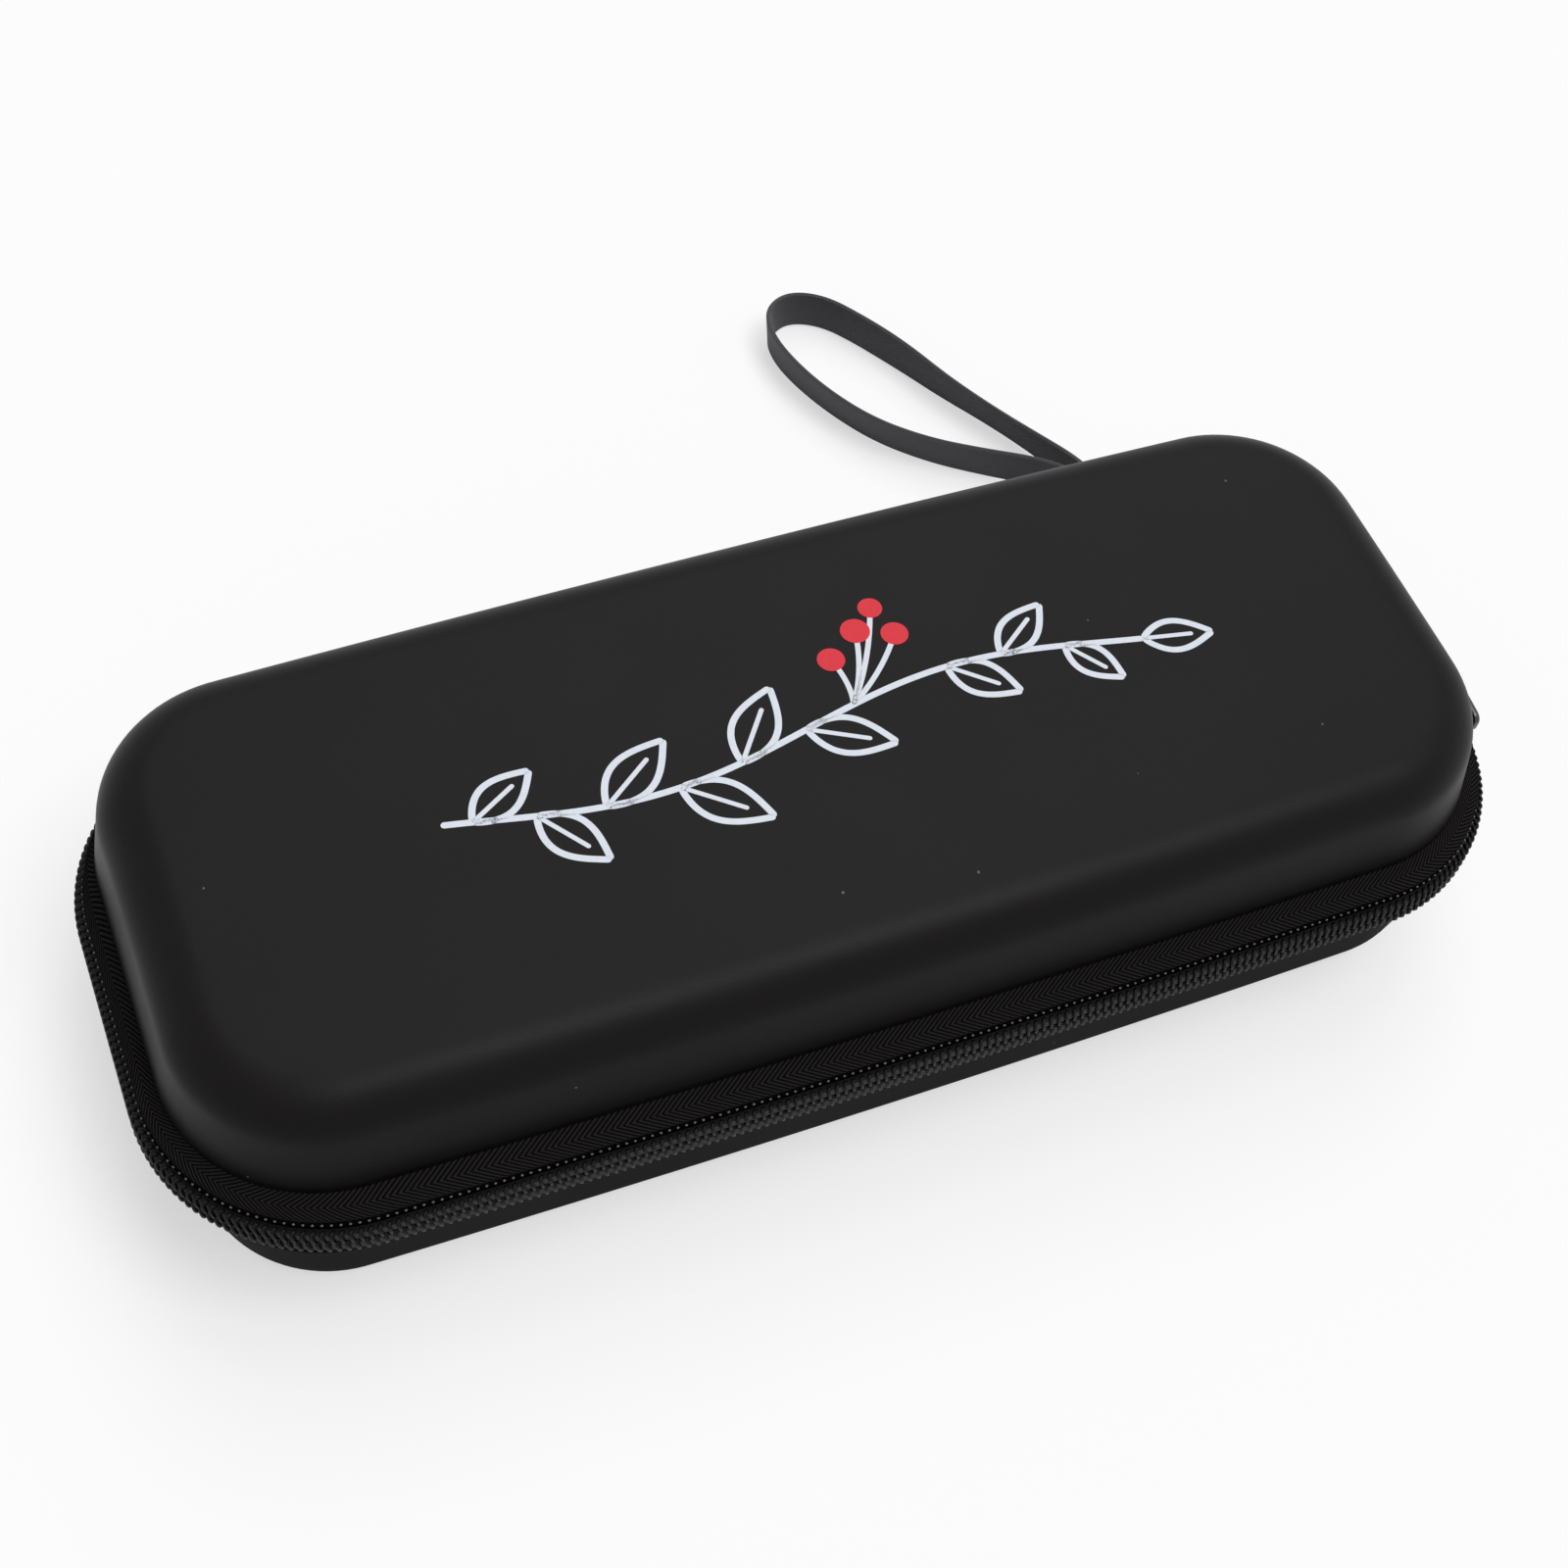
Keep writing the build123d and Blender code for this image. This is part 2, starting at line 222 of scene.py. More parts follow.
# %% Outlines
SIDE_BOW = 1.7 * MM
LID_CORNER = 30.0 * MM
BASE_CORNER = 28.0 * MM
TAPE_CORNER = 35.0 * MM
TAPE_OUT_FRONT = 4.9 * MM
TAPE_IN_BACK = 1.0 * MM

Edge = namedtuple("Edge", "length width corner middle_y")


def edge_of(node, corner):
    """The outline of a tray's mouth, read from its solid."""
    low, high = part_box(node)
    return Edge(high.x - low.x, high.y - low.y - 2 * SIDE_BOW, corner, 0.0)


LID = edge_of("lid_skin", LID_CORNER)
BASE = edge_of("base_skin", BASE_CORNER)
tape_low, tape_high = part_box("upper_tape")
TAPE = Edge(
    tape_high.x - tape_low.x,
    LID.width + TAPE_OUT_FRONT - TAPE_IN_BACK,
    TAPE_CORNER,
    -(TAPE_OUT_FRONT + TAPE_IN_BACK) / 2,
)


print("lid", round(LID.length / MM, 1), "by", round(LID.width / MM, 1), "mm at its mouth")

# %% [markdown]
# One quarter of an outline is half an end, a corner's arc and half a bowed side. The other
# quarters are its mirror images, so every place is found in the first quarter and flipped.

# %% Places on an outline


def quarter(edge):
    """The bow's radius and centre, the corner's centre, and the corner's turn."""
    half_x, half_y = edge.length / 2, edge.width / 2
    bow_radius = (half_x**2 + SIDE_BOW**2) / (2 * SIDE_BOW)
    bow_y = half_y + SIDE_BOW - bow_radius
    centre_x = half_x - edge.corner
    centre_y = bow_y + sqrt((bow_radius - edge.corner) ** 2 - centre_x**2)
    return bow_radius, bow_y, centre_x, centre_y, atan2(centre_y - bow_y, centre_x)


def lengths(edge):
    """The lengths of the outline's twelve stretches, from mark 0 on."""
    bow_radius, _, _, centre_y, turn = quarter(edge)
    corner, long_side = edge.corner * turn, bow_radius * (pi / 2 - turn)
    return [centre_y, corner, long_side, long_side, corner, centre_y] * 2


def place(edge, mark):
    """The point at a mark, and the direction out of the case there."""
    bow_radius, bow_y, centre_x, centre_y, turn = quarter(edge)
    quadrant, part = divmod(mark % 12, 3)
    flip_x = -1 if quadrant in (1, 2) else 1
    flip_y = -1 if quadrant in (2, 3) else 1
    if quadrant in (1, 3):
        part = 3 - part
    if part < 1:
        point, out = (edge.length / 2, part * centre_y), (1.0, 0.0)
    elif part < 2:
        angle = (part - 1) * turn
        out = (cos(angle), sin(angle))
        point = (centre_x + edge.corner * out[0], centre_y + edge.corner * out[1])
    else:
        angle = turn + (part - 2) * (pi / 2 - turn)
        out = (cos(angle), sin(angle))
        point = (bow_radius * out[0], bow_y + bow_radius * out[1])
    point = np.array([flip_x * point[0], edge.middle_y + flip_y * point[1]])
    return point, np.array([flip_x * out[0], flip_y * out[1]])


def even_marks(edge, first, last, spacing):
    """Marks at equal steps along an outline, and each one's distance from the first."""
    reach = np.concatenate([[0], np.cumsum(lengths(edge) * 2)])
    start, stop = np.interp([first, last], range(25), reach)
    steps = round((stop - start) / spacing)
    along = np.linspace(start, stop, steps + 1)
    return np.interp(along, reach, range(25)), along - start


def row(edge, marks, inset, z):
    """Points along an outline at one inset and height."""
    spots = (place(edge, mark) for mark in marks)
    return np.array([(*(point - inset * out), z) for point, out in spots])


def inset_edge(edge, inset):
    """An outline drawn in by the same distance all round."""
    length, width = edge.length - 2 * inset, edge.width - 2 * inset
    return Edge(length, width, edge.corner - inset, edge.middle_y)


RING_STEP = 2.0 * MM
RING, RING_ALONG = even_marks(LID, 0, 12, RING_STEP)
print("outline", round(sum(lengths(LID)) / MM), "mm round the lid,", len(RING) - 1, "steps")

# %% [markdown]
# ## From rows of points to a mesh
# Almost every piece of a sewn case is a strip or a shell, so one function joins rows of points
# with four-sided faces. It also lays out a UV map in metres, along and across the strip, so that
# a weave keeps its true scale and turns with the strip at the corners.

# %% Rows to mesh
SHARP = 38


def link(name, mesh, material):
    """An object for a mesh, smooth but for its real edges."""
    made = bpy.data.objects.new(name, mesh)
    bpy.context.collection.objects.link(made)
    mesh.materials.append(material)
    mesh.polygons.foreach_set("use_smooth", [True] * len(mesh.polygons))
    mesh.set_sharp_from_angle(angle=radians(SHARP))
    return made


def distances(points):
    """Distances along a line of points, from its first one."""
    return np.concatenate([[0], np.cumsum(np.linalg.norm(np.diff(points, axis=0), axis=1))])


def strip(name, rows, along, material, ring=False, tube=False, across=None):
    """Rows of points joined by faces. A ring closes along its rows, a tube across them."""
    count = len(rows[0])
    if across is None:
        across = distances([points[0] for points in (*rows, rows[0])])
    mesh = bpy.data.meshes.new(name)
    work = bmesh.new()
    uv = work.loops.layers.uv.new("strip")
    grid = [[work.verts.new(p) for p in points] for points in rows]
    for i in range(len(rows) if tube else len(rows) - 1):
        for j in range(count if ring else count - 1):
            spans = [(i, j), (i, j + 1), (i + 1, j + 1), (i + 1, j)]
            face = work.faces.new([grid[a % len(rows)][b % count] for a, b in spans])
            for loop, (a, b) in zip(face.loops, spans):
                loop[uv].uv = (along[b], across[a])
    if tube and not ring:
        for end in (0, -1):
            work.faces.new([line[end] for line in grid])
    bmesh.ops.remove_doubles(work, verts=work.verts, dist=1e-6)
    bmesh.ops.recalc_face_normals(work, faces=work.faces)
    work.to_mesh(mesh)
    work.free()
    return link(name, mesh, material)


print("edges over", SHARP, "degrees stay sharp")

# %% [markdown]
# ## Coated fabric of the trays
# The skin is a knit with a matt polyurethane film, pressed hot over the foam. It is nearly smooth,
# with a very fine grain, a soft broad highlight and a few specks of dust that black always shows.

# %% Coated fabric
GRAIN = 0.45 * MM
SWELL = 26.0 * MM
SWELL_SHARE = 6.0
DUST_CELL = 9.0 * MM
DUST_SIZE = 0.03
DUST_SHARE = 0.5
SHINE_SWING = 0.08


def coated_fabric(name, colour, dust_colour, specular, roughness):
    """Matt film over knit: a fine grain on a slow swell, with a few pale specks of dust."""
    made, tree, shader = finish_of(name, colour, roughness, specular=specular)
    where = add(tree, "ShaderNodeTexCoord").outputs["Object"]
    grain = add(tree, "ShaderNodeTexNoise", {"Vector": where, "Scale": 1 / GRAIN, "Detail": 2.0})
    swell = add(tree, "ShaderNodeTexNoise", {"Vector": where, "Scale": 1 / SWELL, "Detail": 1.0})
    dust = add(tree, "ShaderNodeTexVoronoi", {"Vector": where, "Scale": 1 / DUST_CELL})
    speck = add(tree, MATH, (dust, DUST_SIZE), operation="LESS_THAN")
    speck = add(tree, MATH, (speck, DUST_SHARE), operation="MULTIPLY")
    height = add(tree, MATH, (swell, SWELL_SHARE, grain), operation="MULTIPLY_ADD")
    dress(tree, shader, speck, colour, dust_colour, height, 0.03 * MM)
    least = roughness - SHINE_SWING / 2
    rough = add(tree, MATH, (swell, SHINE_SWING, least), operation="MULTIPLY_ADD")
    tree.links.new(rough.outputs[0], shader.inputs["Roughness"])
    return made


# A warm black film: its half-matt face gives the lid one broad, soft highlight
LID_FABRIC = coated_fabric("matt_pu_coated_knit_lid", "#141212", "#8c8880", 0.08, 0.42)

# The same film in a darker colour, a painted shade for the base that stands low by the table, and
# rougher, so the base stays dull
BASE_FABRIC_PAINTED_SHADE = coated_fabric("matt_pu_coated_knit_base_painted_shade", "#0d0d0d", "#8c8880", 0.06, 0.8)
print("fabric grain", GRAIN / MM, "mm")

# %% [markdown]
# ## The lid's skin
# A pressed lid has a leaning wall, a large round and a top that arches a little across the case.
# Rows of points run round it from its lower edge, up the wall, over the round, and in towards a
# line along the top's middle, where they meet and are merged.

# %% Tray rows
SKIN = 0.8 * MM
CROWN = 1.2 * MM
WALL_ROWS = 8
ROUND_ROWS = 14
CROWN_RADIUS = ((LID.width / 2) ** 2 + CROWN**2) / (2 * CROWN)
lid_low, lid_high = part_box("lid_skin")

# A tray: its half of the zip, its outline and how far in the zip is sewn, the lean of its wall,
# its round, the height of its mouth, the way it points, its rise over the mouth, and rows
Tray = namedtuple("Tray", "half edge seam_in draft round mouth way rise top_rows")


def lid_top(y):
    """The height of the lid's top surface."""
    return lid_high.z - CROWN_RADIUS + np.sqrt(CROWN_RADIUS**2 - np.square(y))


def lid_rise(y):
    """The lid's height over its mouth."""
    return lid_top(y) - lid_low.z


TRAYS = {}
TRAYS["lid"] = Tray(
    half="upper",
    edge=LID,
    seam_in=0.4 * MM,
    draft=radians(9.0),
    round=10.5 * MM,
    mouth=lid_low.z,
    way=1,
    rise=lid_rise,
    top_rows=16,
)


def tray_rows(tray, inset):
    """Rows from a tray's mouth over its round to the middle of its top, inside its surface."""
    edge, edge_round, draft = inset_edge(tray.edge, inset), tray.round - inset, tray.draft
    sides, outs = (np.array(part) for part in zip(*(place(edge, mark) for mark in RING[:-1])))
    fall = edge_round * (1 - sin(draft))
    inner = (tray.rise(0.0) - inset - fall) * tan(draft) + edge_round * cos(draft)
    wall = tray.rise(sides[:, 1] - inner * outs[:, 1]) - inset - fall
    shares = np.linspace(0, 1, WALL_ROWS, endpoint=False)
    steps = [(wall * share * tan(draft), wall * share) for share in shares]
    for angle in np.linspace(draft, pi / 2, ROUND_ROWS):
        back = wall * tan(draft) + edge_round * (cos(draft) - cos(angle))
        steps.append((back, wall + edge_round * (sin(angle) - sin(draft))))
    rows = [np.column_stack([sides - back[:, None] * outs, height]) for back, height in steps]
    rim = rows[-1][:, :2]
    ridge = (edge.length - edge.width) / 2
    middle = np.column_stack([np.clip(rim[:, 0], -ridge, ridge), np.zeros(len(rim))])
    for share in np.linspace(0, 1, tray.top_rows)[1:]:
        plan = rim * (1 - share) + middle * share
        rows.append(np.column_stack([plan, tray.rise(plan[:, 1]) - inset]))
    return [points * (1, 1, tray.way) + (0, 0, tray.mouth) for points in rows]


print("lid rises", round(lid_rise(0.0) / MM, 1), "mm over its mouth")

# %% [markdown]
# A layer of a tray is one such shell with a wall inwards. The skin is the outermost layer, and
# foam and lining follow later by the same function.

# %% Layers


def plain(piece):
    """Turns a piece with modifiers into a plain mesh."""
    graph = bpy.context.evaluated_depsgraph_get()
    mesh = bpy.data.meshes.new_from_object(piece.evaluated_get(graph))
    piece.modifiers.clear()
    old, name = piece.data, piece.data.name
    piece.data = mesh
    bpy.data.meshes.remove(old)
    mesh.name = name


def layer(name, body, inset, thickness, material):
    """One layer of a tray, a given distance inside its outer surface."""
    rows = tray_rows(TRAYS[body], inset)
    across = np.arange(len(rows)) * RING_STEP
    piece = strip(name, rows, RING_ALONG, material, ring=True, across=across)
    heights = [v.co.z for v in piece.data.vertices]
    inside = Vector((0, 0, (min(heights) + max(heights)) / 2))
    work = bmesh.new()
    work.from_mesh(piece.data)
    facings = ((f.calc_center_median() - inside).dot(f.normal) * f.calc_area() for f in work.faces)
    if sum(facings) < 0:
        bmesh.ops.reverse_faces(work, faces=work.faces)
    work.to_mesh(piece.data)
    work.free()
    wall = piece.modifiers.new("wall", "SOLIDIFY")
    wall.thickness = thickness
    wall.offset = -1
    plain(piece)
    print(name, len(piece.data.polygons), "faces")
    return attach(piece, body)


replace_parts(layer("lid_cover", "lid", 0.0, SKIN, LID_FABRIC), "lid_skin")

# %% [markdown]
# ## The base's skin
# The base is the same pressing turned over, with a steeper wall, a smaller round and a flat
# underside that it stands on.

# %% Base skin
base_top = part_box("base_skin")[1].z
TRAYS["base"] = Tray(
    half="lower",
    edge=BASE,
    seam_in=1.4 * MM,
    draft=radians(10.5),
    round=8.5 * MM,
    mouth=base_top,
    way=-1,
    rise=lambda y: base_top + 0 * y,
    top_rows=6,
)
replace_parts(layer("base_cover", "base", 0.0, SKIN, BASE_FABRIC_PAINTED_SHADE), "base_skin")

# %% [markdown]
# ## Zip tape
# The tape is woven in a herringbone: two bands of slanting ribs that lean against each other,
# and a plain part behind the coil. The ribs are drawn in the strip's own UV map.

# %% Zip tape
RIB_PITCH = 1.2
BAND = 3.1
RIB_LEAN = 1.5
ZIP_Z = 33.0 * MM
UPRIGHT = 11.2 * MM
TAPE_T = 0.8 * MM
COIL_GAP = 1.4 * MM
BEND_REACH = 0.4 * MM
HINGE_END_GAP = 1.5 * MM

# Rows on the tape's slope, and where every row lies in the weave, in widths of that slope
SLOPE_ROWS = (0, 0.33, 0.66, 0.93)
WEAVE_ROWS = (*SLOPE_ROWS, 1.05, 2, 2.2, 3, 4, 4.2)


def herringbone(name, dark, light):
    """Two bands of ribs that lean against each other, and a plain part beyond them."""
    made, tree, shader = finish_of(name, dark, 0.85, specular=0.0)
    along, across, _ = along_and_across(tree)
    lean = add(tree, MATH, (across, BAND), operation="PINGPONG")
    slant = add(tree, MATH, (lean, RIB_LEAN, along), operation="MULTIPLY_ADD")
    phase = add(tree, MATH, (slant, 2 * pi / RIB_PITCH), operation="MULTIPLY")
    wave = add(tree, MATH, (phase,), operation="SINE")
    rib = add(tree, MATH, (wave, 0.5, 0.5), operation="MULTIPLY_ADD")
    woven = add(tree, MATH, (across, 2 * BAND), operation="LESS_THAN")
    rib = add(tree, MATH, (rib, woven), operation="MULTIPLY")
    dress(tree, shader, rib, dark, light, depth=0.12 * MM)
    return made


# Black polyester yarn: a weave has no mirror at any angle, and its ribs are just light enough to
# show the herringbone
TAPE_WEAVE = herringbone("herringbone_polyester_tape", "#0a0909", "#2a2828")
hinge_low, hinge_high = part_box("hinge_strip_base")


def zip_marks(overrun, spacing):
    """Marks from the zip's left end round the front to its right end, and their distances."""
    bow_radius, _, _, _, turn = quarter(TAPE)
    end_x = hinge_high.x + HINGE_END_GAP - overrun
    start = 3 - np.arcsin(end_x / bow_radius) / (pi / 2 - turn)
    return even_marks(TAPE, 6 - start, 12 + start, spacing)


TAPE_MARKS, TAPE_ALONG = zip_marks(0.0, RING_STEP)


def tape_piece(body):
    """One half of the zip's tape: out from the seam, round the bend, and up behind the coil."""
    tray = TRAYS[body]
    bend_z, middle_z = (ZIP_Z + tray.way * height / 2 for height in (UPRIGHT, COIL_GAP))
    seam = row(tray.edge, TAPE_MARKS, tray.seam_in, tray.mouth)
    bend = row(TAPE, TAPE_MARKS, 0, bend_z)
    rows = [seam * (1 - share) + bend * share for share in SLOPE_ROWS]
    upright = [(0, bend_z - tray.way * BEND_REACH), (0, middle_z)]
    upright += [(TAPE_T, middle_z), (TAPE_T, bend_z)]
    rows += [row(TAPE, TAPE_MARKS, inset, z) for inset, z in upright]
    rows.append(row(tray.edge, TAPE_MARKS, tray.seam_in + TAPE_T, tray.mouth))
    across = np.array(WEAVE_ROWS) * (TAPE_OUT_FRONT + tray.seam_in)
    name = f"{tray.half}_zip_tape"
    piece = strip(name, rows, TAPE_ALONG, TAPE_WEAVE, tube=True, across=across)
    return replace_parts(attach(piece, body), f"{tray.half}_tape")


for body in TRAYS:
    tape_piece(body)
print("zip tape", round(TAPE_ALONG[-1] / MM), "mm long")

# %% [markdown]
# ## Trees that repeat a shape
# A zip has hundreds of equal loops and stitches. A Geometry Nodes tree draws such a shape once
# and sets it at every point of a path. It then makes the copies real, with their material.

# %% Tree helpers


def tree_with(name, sizes):
    """A Geometry Nodes tree that takes a geometry, a material and named sizes."""
    tree = bpy.data.node_groups.new(name, "GeometryNodeTree")
    kinds = {"Geometry": "Geometry", "Material": "Material", **dict.fromkeys(sizes, "Float")}
    for label, kind in kinds.items():
        tree.interface.new_socket(label, in_out="INPUT", socket_type=f"NodeSocket{kind}")
    tree.interface.new_socket("Geometry", in_out="OUTPUT", socket_type="NodeSocketGeometry")
    return tree, add(tree, "NodeGroupInput").outputs


def close_tree(tree, given, made):
    """Ends a tree in real geometry with its material."""
    real = add(tree, "GeometryNodeRealizeInstances", (made,))
    real = add(tree, "GeometryNodeSetMaterial", {"Geometry": real, "Material": given["Material"]})
    add(tree, "NodeGroupOutput", (real,))


def scatter(tree, given, shape):
    """Ends a tree with a smooth shape at each point, turned by the point's own turn."""
    named = {"Name": "turn"}
    turn = add(tree, "GeometryNodeInputNamedAttribute", named, data_type="FLOAT_VECTOR")
    smooth = add(tree, "GeometryNodeSetShadeSmooth", {"Geometry": shape})
    spots = {"Points": given["Geometry"], "Instance": smooth, "Rotation": turn}
    close_tree(tree, given, add(tree, "GeometryNodeInstanceOnPoints", spots))


def run_tree(piece, tree, material, sizes):
    """Runs a tree on a piece with its material and named sizes, and keeps the plain result."""
    values = {"Material": material, **sizes}
    modifier = piece.modifiers.new(tree.name, "NODES")
    modifier.node_group = tree
    for item in tree.interface.items_tree:
        if item.in_out == "INPUT" and item.name in values:
            modifier[item.identifier] = values[item.name]
    plain(piece)
    piece.data.materials.clear()
    piece.data.materials.append(material)


def points_on(name, places, turns):
    """A mesh of loose points, each with the turn that its instance gets."""
    mesh = bpy.data.meshes.new(name)
    mesh.from_pydata([tuple(p) for p in places], [], [])
    turn = mesh.attributes.new("turn", "FLOAT_VECTOR", "POINT")
    turn.data.foreach_set("vector", np.array(turns).ravel())
    piece = bpy.data.objects.new(name, mesh)
    bpy.context.collection.objects.link(piece)
    return piece


def frames_along(marks, offset, z, up):
    """Points outside the tape, turned with X along the loop, Y along the zip and Z outwards."""
    places, turns = [], []
    for mark in marks:
        point, out = place(TAPE, mark)
        outward, upward = Vector((*out, 0)), Z_AXIS * up
        matrix = Matrix((upward, outward.cross(upward), outward)).transposed()
        places.append((*(point + offset * out), z))
        turns.append(tuple(matrix.to_euler()))
    return places, turns


print("the trees' paths run along", len(TAPE_MARKS), "marks of the zip")

# %% [markdown]
# ## Nylon coil
# Each row of a coil zip is one thick nylon thread wound into flat loops. The front of a loop
# leans one way and its back the other, and the loops of the two rows mesh in the middle.

# %% Coil loop
# Solid black nylon thread: a little shine on each loop, dulled by use
USED = {"detail": 3.0, "roughness": 0.45, "specular": 0.12}
NYLON = mottled("black_nylon_monofilament", "#070708", "#161617", 3 * MM, 0.02 * MM, **USED)

LOOPS, given = tree_with("coil_loops", ("Loop Length", "Loop Depth", "Lean", "Wire"))
circle = add(LOOPS, "GeometryNodeCurvePrimitiveCircle", {"Resolution": 14, "Radius": 0.5})
split = add(LOOPS, "ShaderNodeSeparateXYZ", (add(LOOPS, "GeometryNodeInputPosition"),))
length = add(LOOPS, MATH, (split.outputs[0], given["Loop Length"]), operation="MULTIPLY")
depth = add(LOOPS, MATH, (split.outputs[1], given["Loop Depth"]), operation="MULTIPLY")
lean = add(LOOPS, MATH, (length, given["Lean"]), operation="MULTIPLY")
front = add(LOOPS, MATH, (depth,), operation="SIGN")
lean = add(LOOPS, MATH, (lean, front), operation="MULTIPLY")
shape = add(LOOPS, "ShaderNodeCombineXYZ", (length, lean, depth))
ring = add(LOOPS, "GeometryNodeSetPosition", {"Geometry": circle, "Position": shape})
half = add(LOOPS, MATH, (given["Wire"], 0.5), operation="MULTIPLY")
section = add(LOOPS, "GeometryNodeCurvePrimitiveCircle", {"Resolution": 6, "Radius": half})
wire = add(LOOPS, "GeometryNodeCurveToMesh", {"Curve": ring, "Profile Curve": section})
scatter(LOOPS, given, wire)
print("the loop's tree has", len(LOOPS.nodes), "nodes")

# %% [markdown]
# The two rows start half a pitch apart, so that their loops lie between each other. At the two
# sliders the rows stand back from the middle, as a slider parts them.

# %% Coil rows
COIL_PITCH = 1.6 * MM
COIL_OUT = 2.1 * MM
COIL_REACH = 3.5 * MM
COIL_DROP = 0.8 * MM
MESH_IN = 0.5 * MM
WIRE = 0.7 * MM
LOOP_LEAN = 0.2
LOOP_LENGTH = COIL_REACH + MESH_IN - WIRE
COIL_Z = ZIP_Z - COIL_DROP
COIL_OVERRUN = 4.0 * MM
SLIDER_FACE = 1.0 * MM
SLIDER_ZONE = 19.0 * MM
loop_marks, _ = zip_marks(COIL_OVERRUN, COIL_PITCH)


def opened(x, y, up):
    """How far a loop stands back from the middle where the two sliders are."""
    between = x > tape_high.x - SLIDER_FACE and abs(y - TAPE.middle_y) < SLIDER_ZONE
    return (MESH_IN + (COIL_DROP if up > 0 else 0)) * up if between else 0.0


def coil_row(body, shift):
    """One row of loops on its tape, moved along by a share of the pitch."""
    half, up = TRAYS[body].half, TRAYS[body].way
    marks = loop_marks[:-1] + (loop_marks[1:] - loop_marks[:-1]) * shift
    middle = COIL_Z + up * (COIL_REACH - MESH_IN) / 2
    places, turns = frames_along(marks, COIL_OUT / 2, middle, up)
    places = [(x, y, z + opened(x, y, up)) for x, y, z in places]
    piece = points_on(f"{half}_coil_loops", places, turns)
    depth = COIL_OUT - WIRE
    sizes = {"Loop Length": LOOP_LENGTH, "Loop Depth": depth, "Lean": LOOP_LEAN, "Wire": WIRE}
    run_tree(piece, LOOPS, NYLON, sizes)
    print(half, "row", len(places), "loops", len(piece.data.polygons), "faces")
    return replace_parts(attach(piece, body), f"{half}_coil")


coil_row("lid", 0.0)
coil_row("base", 0.5)

# %% [markdown]
# Each row of loops is wound round a filler cord, which gives the chain its body. The sewing pulls
# the cord a little into the tape, so that no light shows through between the loops.

# %% Filler cords
CORD_T = 0.7 * MM
CORD_SUNK = 0.1 * MM
CORD_IN = 0.9 * MM
CORD_OVERRUN = 3.0 * MM
cord_marks, cord_along = zip_marks(CORD_OVERRUN, RING_STEP)


def filler_cord(body):
    """The cord inside one row of loops."""
    up = TRAYS[body].way
    low, high = COIL_Z + up * CORD_IN, COIL_Z + up * (COIL_REACH - WIRE)
    inner, outer = -CORD_SUNK, (COIL_OUT + CORD_T) / 2
    section = [(inner, low), (COIL_OUT / 2, low - up * CORD_T / 2)]
    section += [(outer, low), (outer, high), (inner, high)]
    rows = [row(TAPE, cord_marks, -out, z) for out, z in section]
    for points in rows:
        points[:, 2] += [opened(x, y, up) for x, y, _ in points]
    piece = strip(f"{TRAYS[body].half}_filler_cord", rows, cord_along, NYLON, tube=True)
    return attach(piece, body)


for body in TRAYS:
    filler_cord(body)
print("filler cords", round(cord_along[-1] / MM), "mm long")

# %% [markdown]
# ## Sewing thread
# Two threads hold each coil row to its tape. Where a thread crosses a loop it shows as a short
# pale stitch, so each row of stitches is one small rounded bar set at every pitch.

# %% Stitches
STITCH_LENGTH = 0.55 * MM
STITCH_WIDTH = 0.4 * MM
STITCH_Z = 4.6 * MM
STITCH_OUT = 0.2 * MM
TWIST = 0.5 * MM


def thread(name, dark, light):
    """Spun thread: matt, with a fine twist."""
    matt = {"detail": 1.0, "roughness": 0.9, "specular": 0.2}
    return mottled(name, dark, light, TWIST, 0.05 * MM, **matt)


# The zip's thread is painted pale grey, a painted highlight for the light that its stitches catch,
# so they show as pale dots along the coil
PALE_THREAD_PAINTED_HIGHLIGHT = thread("zip_thread_painted_highlight", "#4a4745", "#8d8884")

# Black polyester thread shows only by its shadow on the black cloth
DARK_THREAD = thread("black_polyester_thread", "#1c1b1b", "#373534")


# A stitch is a rounded bar, long in Y
STITCHES, given = tree_with("stitches", ("Stitch Length", "Stitch Width"))
ball = add(STITCHES, "GeometryNodeMeshUVSphere", {"Segments": 8, "Rings": 5, "Radius": 0.5})
width = given["Stitch Width"]
scale = add(STITCHES, "ShaderNodeCombineXYZ", (width, given["Stitch Length"], width))
scatter(STITCHES, given, add(STITCHES, "GeometryNodeTransform", {"Geometry": ball, "Scale": scale}))


def stitch_row(name, places, turns, body, length, width, material, slot):
    """One row of stitches as a piece of its own."""
    piece = points_on(name, places, turns)
    run_tree(piece, STITCHES, material, {"Stitch Length": length, "Stitch Width": width})
    print(name, len(places), "stitches")
    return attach(piece, body)


for body, tray in TRAYS.items():
    spots = frames_along(loop_marks[:-1], STITCH_OUT, COIL_Z + tray.way * STITCH_Z, tray.way)
    name, sizes = f"{tray.half}_coil_stitches", (STITCH_LENGTH, STITCH_WIDTH)
    stitch_row(name, *spots, body, *sizes, PALE_THREAD_PAINTED_HIGHLIGHT, "zip_tape")

# %% [markdown]
# ## Webbing
# Webbing, hinge cloth and ribbon are plain weaves. Their yarns cross over and under, which two
# sine waves at right angles draw: along the strip at one rib's length, across it a little finer.

# %% Webbing
FINER = 0.8


def webbing(name, dark, light, rib):
    """A plain weave with ribs of one length in mm along the strip."""
    made, tree, shader = finish_of(name, dark, 0.8, specular=0.25, sheen=0.1)
    along, across, _ = along_and_across(tree)
    waves = []
    for distance, length in ((across, FINER * rib), (along, rib)):
        phase = add(tree, MATH, (distance, 2 * pi / length), operation="MULTIPLY")
        waves.append(add(tree, MATH, (phase,), operation="SINE"))
    crossing = add(tree, MATH, waves, operation="MULTIPLY")
    weave = add(tree, MATH, (crossing, 0.5, 0.5), operation="MULTIPLY_ADD")
    dress(tree, shader, weave, dark, light, depth=0.06 * MM)
    return made


